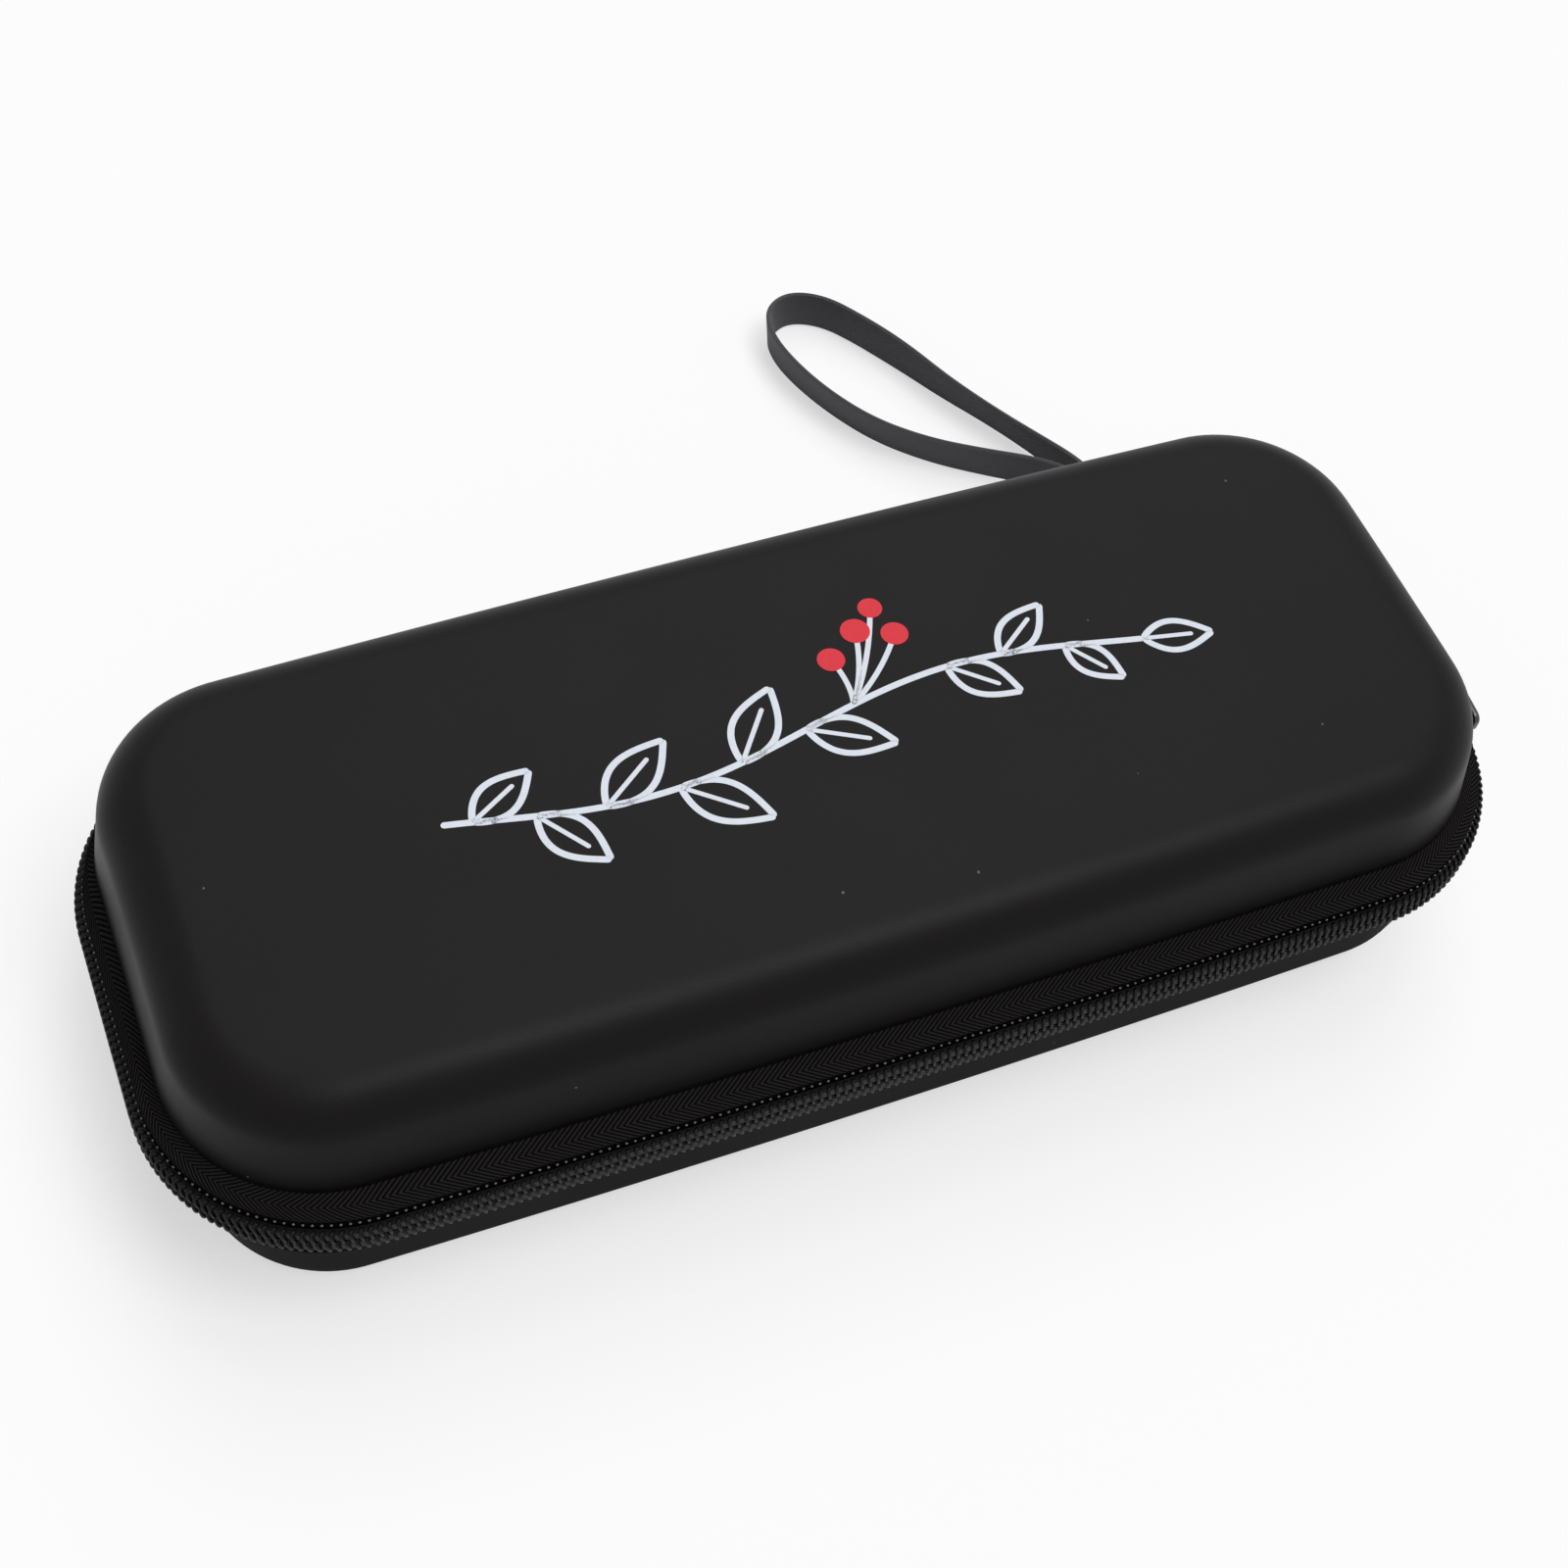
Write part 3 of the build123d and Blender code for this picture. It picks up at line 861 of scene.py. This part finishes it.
# Black strap yarn is bulky and a little fuzzy, so it looks greyer than the film beside it
STRAP_WEAVE = webbing("polyester_strap_webbing", "#3b3a3e", "#545256", 0.9)
print("webbing with ribs of 0.9 mm")

# %% [markdown]
# ## Wrist strap
# The strap is flat woven webbing, folded into a loop and sewn into the back of the case. It
# stands on its edge on the table. Its line is a smooth spline through given points, and a
# thin upright band follows that line.

# %% Wrist strap
STRAP_W = 10.0 * MM
STRAP_T = 1.0 * MM
STRAP_ROUND = 0.35 * MM

# The near and the far branch lean opposite ways, each over its share of the strap
NEAR_LEAN, NEAR_SHARE = radians(14), 0.62
FAR_LEAN, FAR_SHARE = radians(17), 0.36

# Points in mm: away from the case along the near branch, round the end, and back
STRAP_ROUTE = [
    *((98.6, 66.1, 16.0), (98.6, 71.0, 16.0), (97.8, 78.0, 11.6), (94.6, 86.5, 7.0)),
    *((85.2, 94.0, 5.2), (75.0, 100.8, 5.2), (65.6, 109.8, 5.2), (59.0, 120.3, 5.2)),
    *((54.3, 131.4, 5.2), (52.0, 141.6, 5.2), (53.4, 149.6, 5.2), (60.0, 153.2, 5.2)),
    *((68.0, 149.6, 5.2), (74.3, 141.0, 5.2), (80.9, 129.8, 5.2), (86.4, 118.4, 5.2)),
    *((92.6, 107.6, 5.2), (98.8, 96.8, 5.2), (102.6, 86.5, 7.0), (102.0, 78.0, 11.6)),
    *((100.2, 71.0, 16.0), (100.2, 66.1, 16.0)),
]
curve = bpy.data.curves.new("strap_line", "CURVE")
curve.dimensions = "3D"
curve.resolution_u = 8
line = curve.splines.new("NURBS")
line.points.add(len(STRAP_ROUTE) - 1)
for point, spot in zip(line.points, STRAP_ROUTE):
    point.co = (*(v * MM for v in spot), 1)
line.order_u = 3
line.use_endpoint_u = True
holder = bpy.data.objects.new("strap_line", curve)
bpy.context.collection.objects.link(holder)
graph = bpy.context.evaluated_depsgraph_get()
mesh = bpy.data.meshes.new_from_object(holder.evaluated_get(graph))
strap_line = np.array([v.co for v in mesh.vertices])
bpy.data.objects.remove(holder)
bpy.data.meshes.remove(mesh)
strap_along = distances(strap_line)
ahead = np.gradient(strap_line, axis=0)
sideways = np.column_stack([-ahead[:, 1], ahead[:, 0], np.zeros(len(ahead))])
sideways /= np.linalg.norm(sideways, axis=1)[:, None]


def whole_section(half):
    """A strip's section from one half of it, which is repeated turned round."""
    return [(-x, -z) for x, z in half] + half


thick, high = STRAP_T / 2, STRAP_W / 2
strap_half = [(thick, high - STRAP_ROUND), (thick, 0), (thick, STRAP_ROUND - high), (0, -high)]
share = strap_along / strap_along[-1]
lean = NEAR_LEAN * np.sin(pi * np.clip(share / NEAR_SHARE, 0, 1)) ** 2
lean -= FAR_LEAN * np.sin(pi * np.clip((share - NEAR_SHARE) / FAR_SHARE, 0, 1)) ** 2
strap_rows = []
for out, height in whole_section(strap_half):
    aside = out * np.cos(lean) + height * np.sin(lean)
    rise = height * np.cos(lean) - out * np.sin(lean)
    strap_rows.append(strap_line + aside[:, None] * sideways + rise[:, None] * np.array(Z_AXIS))
strap = strip("wrist_strap_webbing", strap_rows, strap_along, STRAP_WEAVE, tube=True)
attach(strap, "base")
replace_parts(strap, "wrist_strap")
print("strap", round(strap_along[-1] / MM), "mm of webbing")

# %% [markdown]
# ## Strap root
# The strap's two ends are laid face to face and sewn into the back of the case. The sewn part is
# one thick flat block of webbing with a frame of lock stitches on each face.

# %% Strap root
root_low, root_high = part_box("strap_root")
root_middle = (root_low + root_high) / 2
ROOT_BURIED = 2.0 * MM
ROOT_EDGE = 0.5 * MM
half_t = (root_high.x - root_low.x) / 2
root_y = np.linspace(root_low.y - ROOT_BURIED, root_high.y, 9)


def cut_corners(thick, high, cut):
    """One half of a rectangle's section with its corners cut."""
    return [(thick, high - cut), (thick, cut - high), (thick - cut, -high), (cut - thick, -high)]


root_rows = [
    np.array([(root_middle.x + out, y, root_middle.z + z) for y in root_y])
    for out, z in whole_section(cut_corners(half_t, high, ROOT_EDGE))
]
root = strip("strap_root_webbing", root_rows, root_y - root_y[0], STRAP_WEAVE, tube=True)
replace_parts(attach(root, "base"), "strap_root")


def facing(outward, along):
    """The turn of a stitch that lies along a direction on a face."""
    outward, along = Vector(outward), Vector(along)
    return tuple(Matrix((along.cross(outward), along, outward)).transposed().to_euler())


ROOT_STITCH = 1.6 * MM
THREAD_T = 0.4 * MM
ROOT_ROW_Z = 3.2 * MM
ROOT_PITCH = 2.0 * MM
SEWN_FROM, SEWN_TO = 9.0 * MM, 0.8 * MM
sewn_y = np.arange(root_high.y - SEWN_FROM, root_high.y - SEWN_TO, ROOT_PITCH)
places, turns = [], []
for way in (-1, 1):
    face_x = root_middle.x + way * half_t
    for z in (-ROOT_ROW_Z, ROOT_ROW_Z):
        places += [(face_x, y, root_middle.z + z) for y in sewn_y]
        turns += [facing((way, 0, 0), (0, 1, 0))] * len(sewn_y)
    for y in (sewn_y[0] - ROOT_PITCH / 2, sewn_y[-1] + ROOT_PITCH / 2):
        places += [(face_x, y, root_middle.z + z) for z in (-ROOT_PITCH, 0, ROOT_PITCH)]
        turns += [facing((way, 0, 0), (0, 0, 1))] * 3
sizes = (ROOT_STITCH, THREAD_T)
stitch_row("strap_root_stitches", places, turns, "base", *sizes, DARK_THREAD, "webbing")

# %% [markdown]
# ## Hinge cloth
# Along the back a strip of ribbed cloth takes the zip's place. It is sewn to both trays and folds
# between them, so it is one piece that bends from the base's side to the lid's.

# %% Hinge cloth
HINGE_Y = hinge_high.y
CLOTH_T = hinge_high.y - hinge_low.y

# The cloth is sewn a little inside each tray, and stands at its full reach this far below the zip
BASE_SEW_IN, LID_SEW_IN = 0.6 * MM, 0.2 * MM
FULL_BELOW = 4.0 * MM

# Ribbed hinge cloth is matt and nearly as black as the film
HINGE_WEAVE = webbing("ribbed_polyester_hinge_cloth", "#131314", "#262627", 1.1)
cloth_x = np.linspace(hinge_low.x, hinge_high.x, 97)


def back_y(edge, x):
    """How far back an edge's bowed side stands at x."""
    bow_radius, bow_y, _, _, _ = quarter(edge)
    return bow_y + np.sqrt(bow_radius**2 - x**2)


def cloth_y(x, z):
    """The hinge cloth's outer face."""
    if z <= ZIP_Z:
        share = min(1.0, (z - base_top) / (ZIP_Z - FULL_BELOW - base_top))
        near = back_y(BASE, x) - BASE_SEW_IN
    else:
        share = 1 - (z - ZIP_Z) / (lid_low.z - ZIP_Z)
        near = back_y(LID, x) - LID_SEW_IN
    return near + (HINGE_Y - near) * share * share * (3 - 2 * share)


cloth_z = [*np.linspace(base_top, ZIP_Z, 9), *np.linspace(ZIP_Z, lid_low.z, 7)[1:]]
cloth_rows = [np.array([(x, cloth_y(x, z), z) for x in cloth_x]) for z in cloth_z]
cloth_rows += [points - (0, CLOTH_T, 0) for points in reversed(cloth_rows)]
cloth_across = [z - cloth_z[0] for z in cloth_z]
cloth_across += [2 * cloth_across[-1] + CLOTH_T - a for a in reversed(cloth_across)]
cloth_across.append(cloth_across[-1] + CLOTH_T)
hinge = strip(
    "hinge_cloth", cloth_rows, cloth_x - cloth_x[0], HINGE_WEAVE, tube=True, across=cloth_across
)
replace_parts(hinge, "hinge_strip_base", "hinge_strip_lid")
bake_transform(hinge)

HINGE_SEAM_IN = 1.4 * MM
HINGE_STITCH = 2.2 * MM
HINGE_THREAD = 0.45 * MM
SEAM_PITCH = 3.2 * MM
seam_x = np.arange(hinge_low.x + 2 * MM, hinge_high.x - 1 * MM, SEAM_PITCH)
for body, z in (("base", base_top + HINGE_SEAM_IN), ("lid", lid_low.z - HINGE_SEAM_IN)):
    places = [(x, cloth_y(x, z), z) for x in seam_x]
    turns = [facing((0, 1, 0), (1, 0, 0))] * len(places)
    name, sizes = f"hinge_{body}_stitches", (HINGE_STITCH, HINGE_THREAD)
    stitch_row(name, places, turns, body, *sizes, DARK_THREAD, "hinge_fabric")
print("hinge cloth", round((hinge_high.x - hinge_low.x) / MM), "mm long")

# %% [markdown]
# ## Foam, lining and binding
# Inside the skin is pressed EVA foam, then a brushed knit lining. A folded ribbon covers the raw
# edges of all three at the mouth of each tray. These layers show when the case is open.

# %% Inner layers
FOAM_T = 3.2 * MM
LINING_T = 0.5 * MM
BINDING_T = 0.9 * MM
BINDING_H = 7.0 * MM
WALL_T = SKIN + FOAM_T + LINING_T


# Pressed foam is matt and slightly pitted
SOFT = {"detail": 3.0, "roughness": 0.92, "specular": 0.15}
FOAM = mottled("pressed_eva_foam", "#161617", "#232324", 1.2 * MM, 0.1 * MM, **SOFT)

# Brushed knit has a soft nap that lightens it where it turns away
NAP = {"grain": 0.7 * MM, "depth": 0.15 * MM, "sheen": 0.25, **SOFT}
LINING = mottled("brushed_knit_lining", "#1a1a1c", "#343437", **NAP)

# Binding ribbon is ribbed and a little shinier than the nap beside it
BINDING = webbing("ribbed_edge_binding", "#151516", "#2a2a2c", 0.8)


for body in TRAYS:
    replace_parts(layer(f"{body}_foam", body, SKIN, FOAM_T, FOAM), f"{body}_shell")
    knit = layer(f"{body}_knit_lining", body, SKIN + FOAM_T, LINING_T, LINING)
    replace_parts(knit, f"{body}_lining")


def binding(body):
    """Ribbon folded over a tray's edge: from the tape's seam, under the foam, up the lining."""
    tray = TRAYS[body]
    lean = BINDING_H * tan(tray.draft)
    outside, inside = 1.3 * MM, WALL_T + BINDING_T
    section = [
        (outside, 0.0),
        (outside + 0.4 * MM, -0.5 * MM),
        (inside - 0.8 * MM, -0.6 * MM),
        (inside, 0.2 * MM),
        (inside + lean * 0.5, BINDING_H * 0.5),
        (inside + lean, BINDING_H - 0.3 * MM),
        (inside + lean - BINDING_T * 0.5, BINDING_H),
        (WALL_T + lean, BINDING_H - 0.3 * MM),
        (WALL_T, 0.1 * MM),
    ]
    marks, mouth = RING[:-1], tray.mouth
    rows = [row(tray.edge, marks, inset, mouth + tray.way * rise) for inset, rise in section]
    piece = strip(f"{body}_edge_binding", rows, RING_ALONG, BINDING, ring=True, tube=True)
    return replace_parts(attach(piece, body), f"{body}_binding")


for body in TRAYS:
    binding(body)
print("wall of", round(WALL_T / MM, 1), "mm in three layers")

# %% [markdown]
# ## Net pocket
# A net of knitted thread closes a flat pocket inside the lid. Its sides are held under a narrow
# tape and its front edge runs through an elastic hem. The threads are real: Geometry Nodes turn
# crossing lines into thin thread.

# %% Net
NET_PITCH = 2.0 * MM
THREAD_SIDE = 0.4 * MM
WEAVE_RISE = 0.14 * MM
net_low, net_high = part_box("pocket_net")
NET_Z = (net_low.z + net_high.z) / 2
net_inset = (LID.length - (net_high.x - net_low.x)) / 2

# Knitted net thread is smooth and half matt. A real net has a hole to each millimetre, too fine
# for this picture, so its holes are drawn twice as wide.
NET_THREAD = thread("knitted_polyester_net", "#242426", "#4a4a4d")


NET_EDGE = inset_edge(LID, net_inset)
NET_BOW, NET_BOW_Y, NET_CENTRE_X, NET_CENTRE_Y, _ = quarter(NET_EDGE)


def inside_net(x, y):
    """Whether a point lies within the pocket's outline."""
    if y < net_low.y or abs(x) > net_high.x or np.hypot(x, abs(y) - NET_BOW_Y) > NET_BOW:
        return False
    past_x, past_y = abs(x) - NET_CENTRE_X, abs(y) - NET_CENTRE_Y
    return min(past_x, past_y) <= 0 or np.hypot(past_x, past_y) <= NET_EDGE.corner


def net_lines():
    """Points and links of threads that cross at 45 degrees, over and under in turn."""
    points, links = [], []
    step = NET_PITCH / sqrt(2)
    reach = int((net_high.x + net_high.y) / step) + 2
    for family in (-1, 1):
        for line in range(-2 * reach, 2 * reach):
            previous = None
            for i in range(-2 * reach, 2 * reach):
                if (i + line) % 2:
                    continue
                x, y = i * step, family * (line - i) * step
                if not inside_net(x, y):
                    previous = None
                    continue
                over = 1 if (i // 2 + (line // 2 if family > 0 else 0)) % 2 == 0 else -1
                points.append((x, y, NET_Z + family * over * WEAVE_RISE))
                if previous is not None:
                    links.append((previous, len(points) - 1))
                previous = len(points) - 1
    return points, links


# The tree gives lines a square thread and closes its ends
THREADS, given = tree_with("net_threads", ("Thread Side",))
lines = add(THREADS, "GeometryNodeMeshToCurve", (given["Geometry"],))
half = add(THREADS, MATH, (given["Thread Side"], 1 / sqrt(2)), operation="MULTIPLY")
section = add(THREADS, "GeometryNodeCurvePrimitiveCircle", {"Resolution": 4, "Radius": half})
sweep = {"Curve": lines, "Profile Curve": section, "Fill Caps": True}
close_tree(THREADS, given, add(THREADS, "GeometryNodeCurveToMesh", sweep))

points, links = net_lines()
net_mesh = bpy.data.meshes.new("net_pocket")
net_mesh.from_pydata(points, links, [])
net = bpy.data.objects.new("net_pocket", net_mesh)
bpy.context.collection.objects.link(net)
run_tree(net, THREADS, NET_THREAD, {"Thread Side": THREAD_SIDE})
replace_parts(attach(net, "lid"), "pocket_net")
print("net", len(net.data.polygons), "faces")

# %% [markdown]
# ## The pocket's hem and tape
# The open edge of the net runs inside a folded elastic hem, gathered by its own pull. The other
# edges lie between the lining and a ribbon, sewn through with one row of stitches.

# %% Hem and edge tape
# Elastic tape has coarse ribs across its pull
HEM_WEAVE = webbing("elastic_hem", "#161617", "#2f2f31", 1.6)
hem_low, hem_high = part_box("pocket_hem")
HEM_END = 0.5 * MM
hem_x = np.linspace(hem_low.x + HEM_END, hem_high.x - HEM_END, 113)
HEM_ROUND = 0.5 * MM
GATHER_RISE, GATHER_LENGTH = 0.12 * MM, 1.1 * MM
hem_middle, hem_half = (hem_low + hem_high) / 2, (hem_high - hem_low) / 2
gather = GATHER_RISE * np.sin(hem_x / GATHER_LENGTH)
hem_rows = [
    np.column_stack([hem_x, hem_middle.y + y + 0 * hem_x, hem_middle.z + z + gather])
    for y, z in whole_section(cut_corners(hem_half.y, hem_half.z, HEM_ROUND))
]
hem = strip("elastic_hem", hem_rows, hem_x - hem_x[0], HEM_WEAVE, tube=True)
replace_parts(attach(hem, "lid"), "pocket_hem")

edge_low, edge_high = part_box("pocket_edge_tape")
EDGE_TAPE_W = 5.0 * MM
EDGE_STITCH_IN = 1.2 * MM
edge_in = (LID.length - (edge_high.x - edge_low.x)) / 2
tape_in = edge_in + EDGE_TAPE_W
end_mark = -hem_high.y / quarter(LID)[3]
edge_marks, edge_along = even_marks(LID, 12 - end_mark, 18 + end_mark, RING_STEP)
edge_section = [(edge_in, edge_low.z), (tape_in, edge_low.z)]
edge_section += [(tape_in, edge_high.z), (edge_in, edge_high.z)]
edge_rows = [row(LID, edge_marks, inset, z) for inset, z in edge_section]
edge_tape = strip("pocket_tape", edge_rows, edge_along, BINDING, tube=True)
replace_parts(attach(edge_tape, "lid"), "pocket_edge_tape")
sewn_marks, _ = even_marks(LID, 12 - end_mark, 18 + end_mark, SEAM_PITCH)
places = row(LID, sewn_marks, tape_in - EDGE_STITCH_IN, edge_low.z)
outs = [place(LID, mark)[1] for mark in sewn_marks]
turns = [facing((0, 0, -1), (-out[1], out[0], 0)) for out in outs]
stitch_row("pocket_stitches", places, turns, "lid", HINGE_STITCH, THREAD_T, DARK_THREAD, "net")

# %% [markdown]
# ## Sliders, pull tabs and stops
# These are small zinc castings and crimped clips with a satin black enamel. A casting has no
# knife edges, so each solid is copied and its edges are rounded by a quarter of a millimetre.

# %% Castings
# Black enamel over zinc: a clear highlight on each edge, broken by slight wear
ENAMEL, tree, shader = finish_of("satin_black_enamel_on_zinc", "#101011", 0.32, coat=0.3)
where = add(tree, "ShaderNodeTexCoord").outputs["Object"]
wear = add(tree, "ShaderNodeTexNoise", {"Vector": where, "Scale": 1 / (2.5 * MM), "Detail": 4.0})
rub = add(tree, "ShaderNodeTexNoise", {"Vector": where, "Scale": 1 / (0.5 * MM), "Detail": 2.0})
dress(tree, shader, wear, "#0c0c0d", "#1e1e1f", rub, 0.02 * MM)
rough = add(tree, MATH, (wear, 0.25, 0.2), operation="MULTIPLY_ADD")
tree.links.new(rough.outputs[0], shader.inputs["Roughness"])
CAST_ROUND = 0.25 * MM
THIN_ROUND = 0.3 * MM
WELD = 0.01 * MM
FLAT, CORNER = radians(3), radians(35)


def cast(node, body, edge_round):
    """A copy of a solid with softened edges, in enamel."""
    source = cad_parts[node]
    work = bmesh.new()
    work.from_mesh(source.data)
    bmesh.ops.transform(work, matrix=source.matrix_world, verts=work.verts)
    bmesh.ops.remove_doubles(work, verts=work.verts, dist=WELD)
    bmesh.ops.dissolve_limit(work, angle_limit=FLAT, verts=work.verts, edges=work.edges)
    corners = [e for e in work.edges if e.is_manifold and e.calc_face_angle() > CORNER]
    rounds = {"offset": edge_round, "segments": 2, "profile": 0.5, "affect": "EDGES"}
    bmesh.ops.bevel(work, geom=corners, clamp_overlap=True, **rounds)
    mesh = bpy.data.meshes.new(f"{node}_cast")
    work.to_mesh(mesh)
    work.free()
    piece = link(f"{node}_cast", mesh, ENAMEL)
    print(node, len(mesh.polygons), "faces")
    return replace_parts(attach(piece, body), node)


for which in ("front", "rear"):
    cast(f"{which}_slider_body", f"{which}_slider", CAST_ROUND)
    cast(f"{which}_slider_bridge", f"{which}_slider", CAST_ROUND)
    cast(f"{which}_slider_tab", f"{which}_tab", THIN_ROUND)
for body, tray in TRAYS.items():
    cast(f"{tray.half}_stops", body, THIN_ROUND)

# %% [markdown]
# ## Printed sprig
# The lid carries a simple line drawing: a leafy sprig in pale ink with a few solid red berries.
# Screen ink lies on the fabric as a thin film, so each stroke is a thin closed ribbon that
# follows the lid's arch.

# %% Ink strokes
INK_LIFT = 0.07 * MM
INK_DEPTH = 0.15 * MM
STROKE_STEP = 0.6 * MM
END_STEPS = np.array([0.08, 0.2, 0.38]) * MM


def ink(name, colour, shade):
    """A film of screen ink, with the weave below showing faintly through it."""
    flat = {"detail": 2.0, "roughness": 0.6, "specular": 0.3}
    return mottled(name, shade, colour, 0.8 * MM, 0.01 * MM, **flat)


# Thick opaque ink: flat and matt, brighter than anything else on the case
PALE_INK = ink("pale_screen_ink", "#e6ebf2", "#d3dae6")
RED_INK = ink("red_screen_ink", "#e0333f", "#cf2c38")


def stroke(points, width):
    """A ribbon along plan points in metres, resampled finely and rounded at both ends."""
    points = np.array(points)
    along = distances(points)
    at = np.linspace(0, along[-1], max(8, int(along[-1] / STROKE_STEP)))
    at = np.unique(np.concatenate([at, END_STEPS, along[-1] - END_STEPS]))
    points = np.column_stack([np.interp(at, along, column) for column in points.T])
    ahead = np.gradient(points, axis=0)
    ahead /= np.linalg.norm(ahead, axis=1)[:, None]
    aside = np.column_stack([-ahead[:, 1], ahead[:, 0]])
    along = distances(points)
    to_end = np.minimum(along, along[-1] - along)
    half = width / 2 * np.sqrt(np.clip(1 - (1 - np.clip(2 * to_end / width, 0, 1)) ** 2, 0.04, 1))
    rows = []
    for way, lift in ((-1, -INK_DEPTH), (-1, INK_LIFT), (1, INK_LIFT), (1, -INK_DEPTH)):
        plan = points + way * half[:, None] * aside
        rows.append(np.column_stack([plan, lid_top(plan[:, 1]) + lift]))
    across = [0, INK_LIFT, width, width + INK_LIFT, 2 * width]
    return strip("stroke", rows, along, PALE_INK, tube=True, across=across)


def joined(name, pieces, material, body):
    """Several meshes as one piece."""
    work = bmesh.new()
    for piece in pieces:
        work.from_mesh(piece.data)
        old = piece.data
        bpy.data.objects.remove(piece)
        bpy.data.meshes.remove(old)
    mesh = bpy.data.meshes.new(name)
    work.to_mesh(mesh)
    work.free()
    print(name, len(mesh.polygons), "faces")
    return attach(link(name, mesh, material), body)


print("ink", INK_LIFT / MM, "mm thick over the fabric")

# %% [markdown]
# The sprig is drawn on the lid's plan in millimetres: a wavy stem, leaves on its two sides in
# turn with a midrib each, and a stalk from one foot to each berry.

# %% Sprig
STEM_LEFT, STEM_RIGHT = -72.0, 68.0
STEM_WAVE, STEM_WAVES, STEM_START = 4.5, 1.15, 0.42
LINE = 1.3 * MM
LEAF_TURN = radians(42)
MIDRIB = 0.72


def stem(share):
    """The sprig's stem: a long, lazy wave."""
    x = STEM_LEFT + (STEM_RIGHT - STEM_LEFT) * share
    y = STEM_WAVE * sin(2 * pi * (share * STEM_WAVES + STEM_START)) - 1.5 + 3 * share
    return np.array([x, y]) * MM


def heading(share):
    """The stem's direction as an angle."""
    ahead = stem(share + 0.01) - stem(share - 0.01)
    return atan2(ahead[1], ahead[0])


def leaf(foot, angle, length, width):
    """Two sides and a midrib."""
    turned = np.array([[cos(angle), sin(angle)], [-sin(angle), cos(angle)]])
    shares = np.linspace(0, 1, 22)
    strokes = []
    for way in (-1, 1):
        bulge = way * width / 2 * np.sin(pi * shares**0.85)
        strokes.append((foot + np.column_stack([shares * length, bulge]) @ turned, LINE))
    midrib = np.column_stack([shares * length * MIDRIB, 0 * shares])
    strokes.append((foot + midrib @ turned, LINE * 0.7))
    return strokes


strokes = [([stem(s) for s in np.linspace(0, 1, 60)], LINE)]

# Each leaf: its place on the stem, its side, its length and its width
LEAVES = [
    *((0.04, 1, 15, 7.5), (0.12, -1, 16, 8), (0.21, 1, 18, 8.5), (0.31, -1, 18, 8.5)),
    *((0.40, 1, 18, 8.5), (0.50, -1, 17, 8), (0.72, -1, 15, 7.5), (0.80, 1, 15, 7)),
    (0.89, -1, 13, 6.5),
]
for share, way, length, width in LEAVES:
    turn = heading(share) + way * LEAF_TURN
    strokes += leaf(stem(share), turn, length * MM, width * MM)
strokes += leaf(stem(1.0), heading(1.0), 14 * MM, 7 * MM)

# Each berry: its place on the stem, its height over it and its radius
BERRIES = [(0.56, 11.5, 2.7), (0.61, 15.0, 2.9), (0.66, 11.0, 2.7), (0.645, 18.5, 2.4)]
BERRY_FOOT = 0.575
BERRY_AHEAD, STALK_BEND = 2.0, np.array([1.5, -1.0]) * MM
berry_spots = []
for share, rise, radius in BERRIES:
    foot = stem(BERRY_FOOT)
    top = stem(share) + np.array([BERRY_AHEAD, rise]) * MM
    bend = (foot + top) / 2 + STALK_BEND
    way = np.linspace(0, 1, 24)[:, None]
    curve = foot * (1 - way) ** 2 + 2 * bend * way * (1 - way) + top * way**2
    strokes.append((curve, LINE * 0.8))
    berry_spots.append((top, radius * MM))
joined("printed_sprig", [stroke(*s) for s in strokes], PALE_INK, "lid")

# %% [markdown]
# ## Berries
# The second ink is printed in a second pass, over the ends of the pale stalks. Each berry is a
# thin round film of red that follows the lid's arch and lies just above the pale ink.

# %% Berries
red = []
turns_round = np.linspace(0, 2 * pi, 33)[:-1]
for centre, radius in berry_spots:
    rows = []
    for reach, lift in ((0, 1.4), (0.5, 1.4), (1, 1.4), (1, -2.0), (0, -2.0)):
        plan = centre + reach * radius * np.column_stack([np.cos(turns_round), np.sin(turns_round)])
        rows.append(np.column_stack([plan, lid_top(plan[:, 1]) + lift * INK_LIFT]))
    along = [*turns_round, 2 * pi]
    red.append(strip("berry", rows, along, RED_INK, ring=True, across=range(5)))
joined("printed_berries", red, RED_INK, "lid")

# %% [markdown]
# ## Colour view
# The plain Standard view shows a colour as it is written.

# %% Colour view
bpy.context.scene.view_settings.view_transform = "Standard"
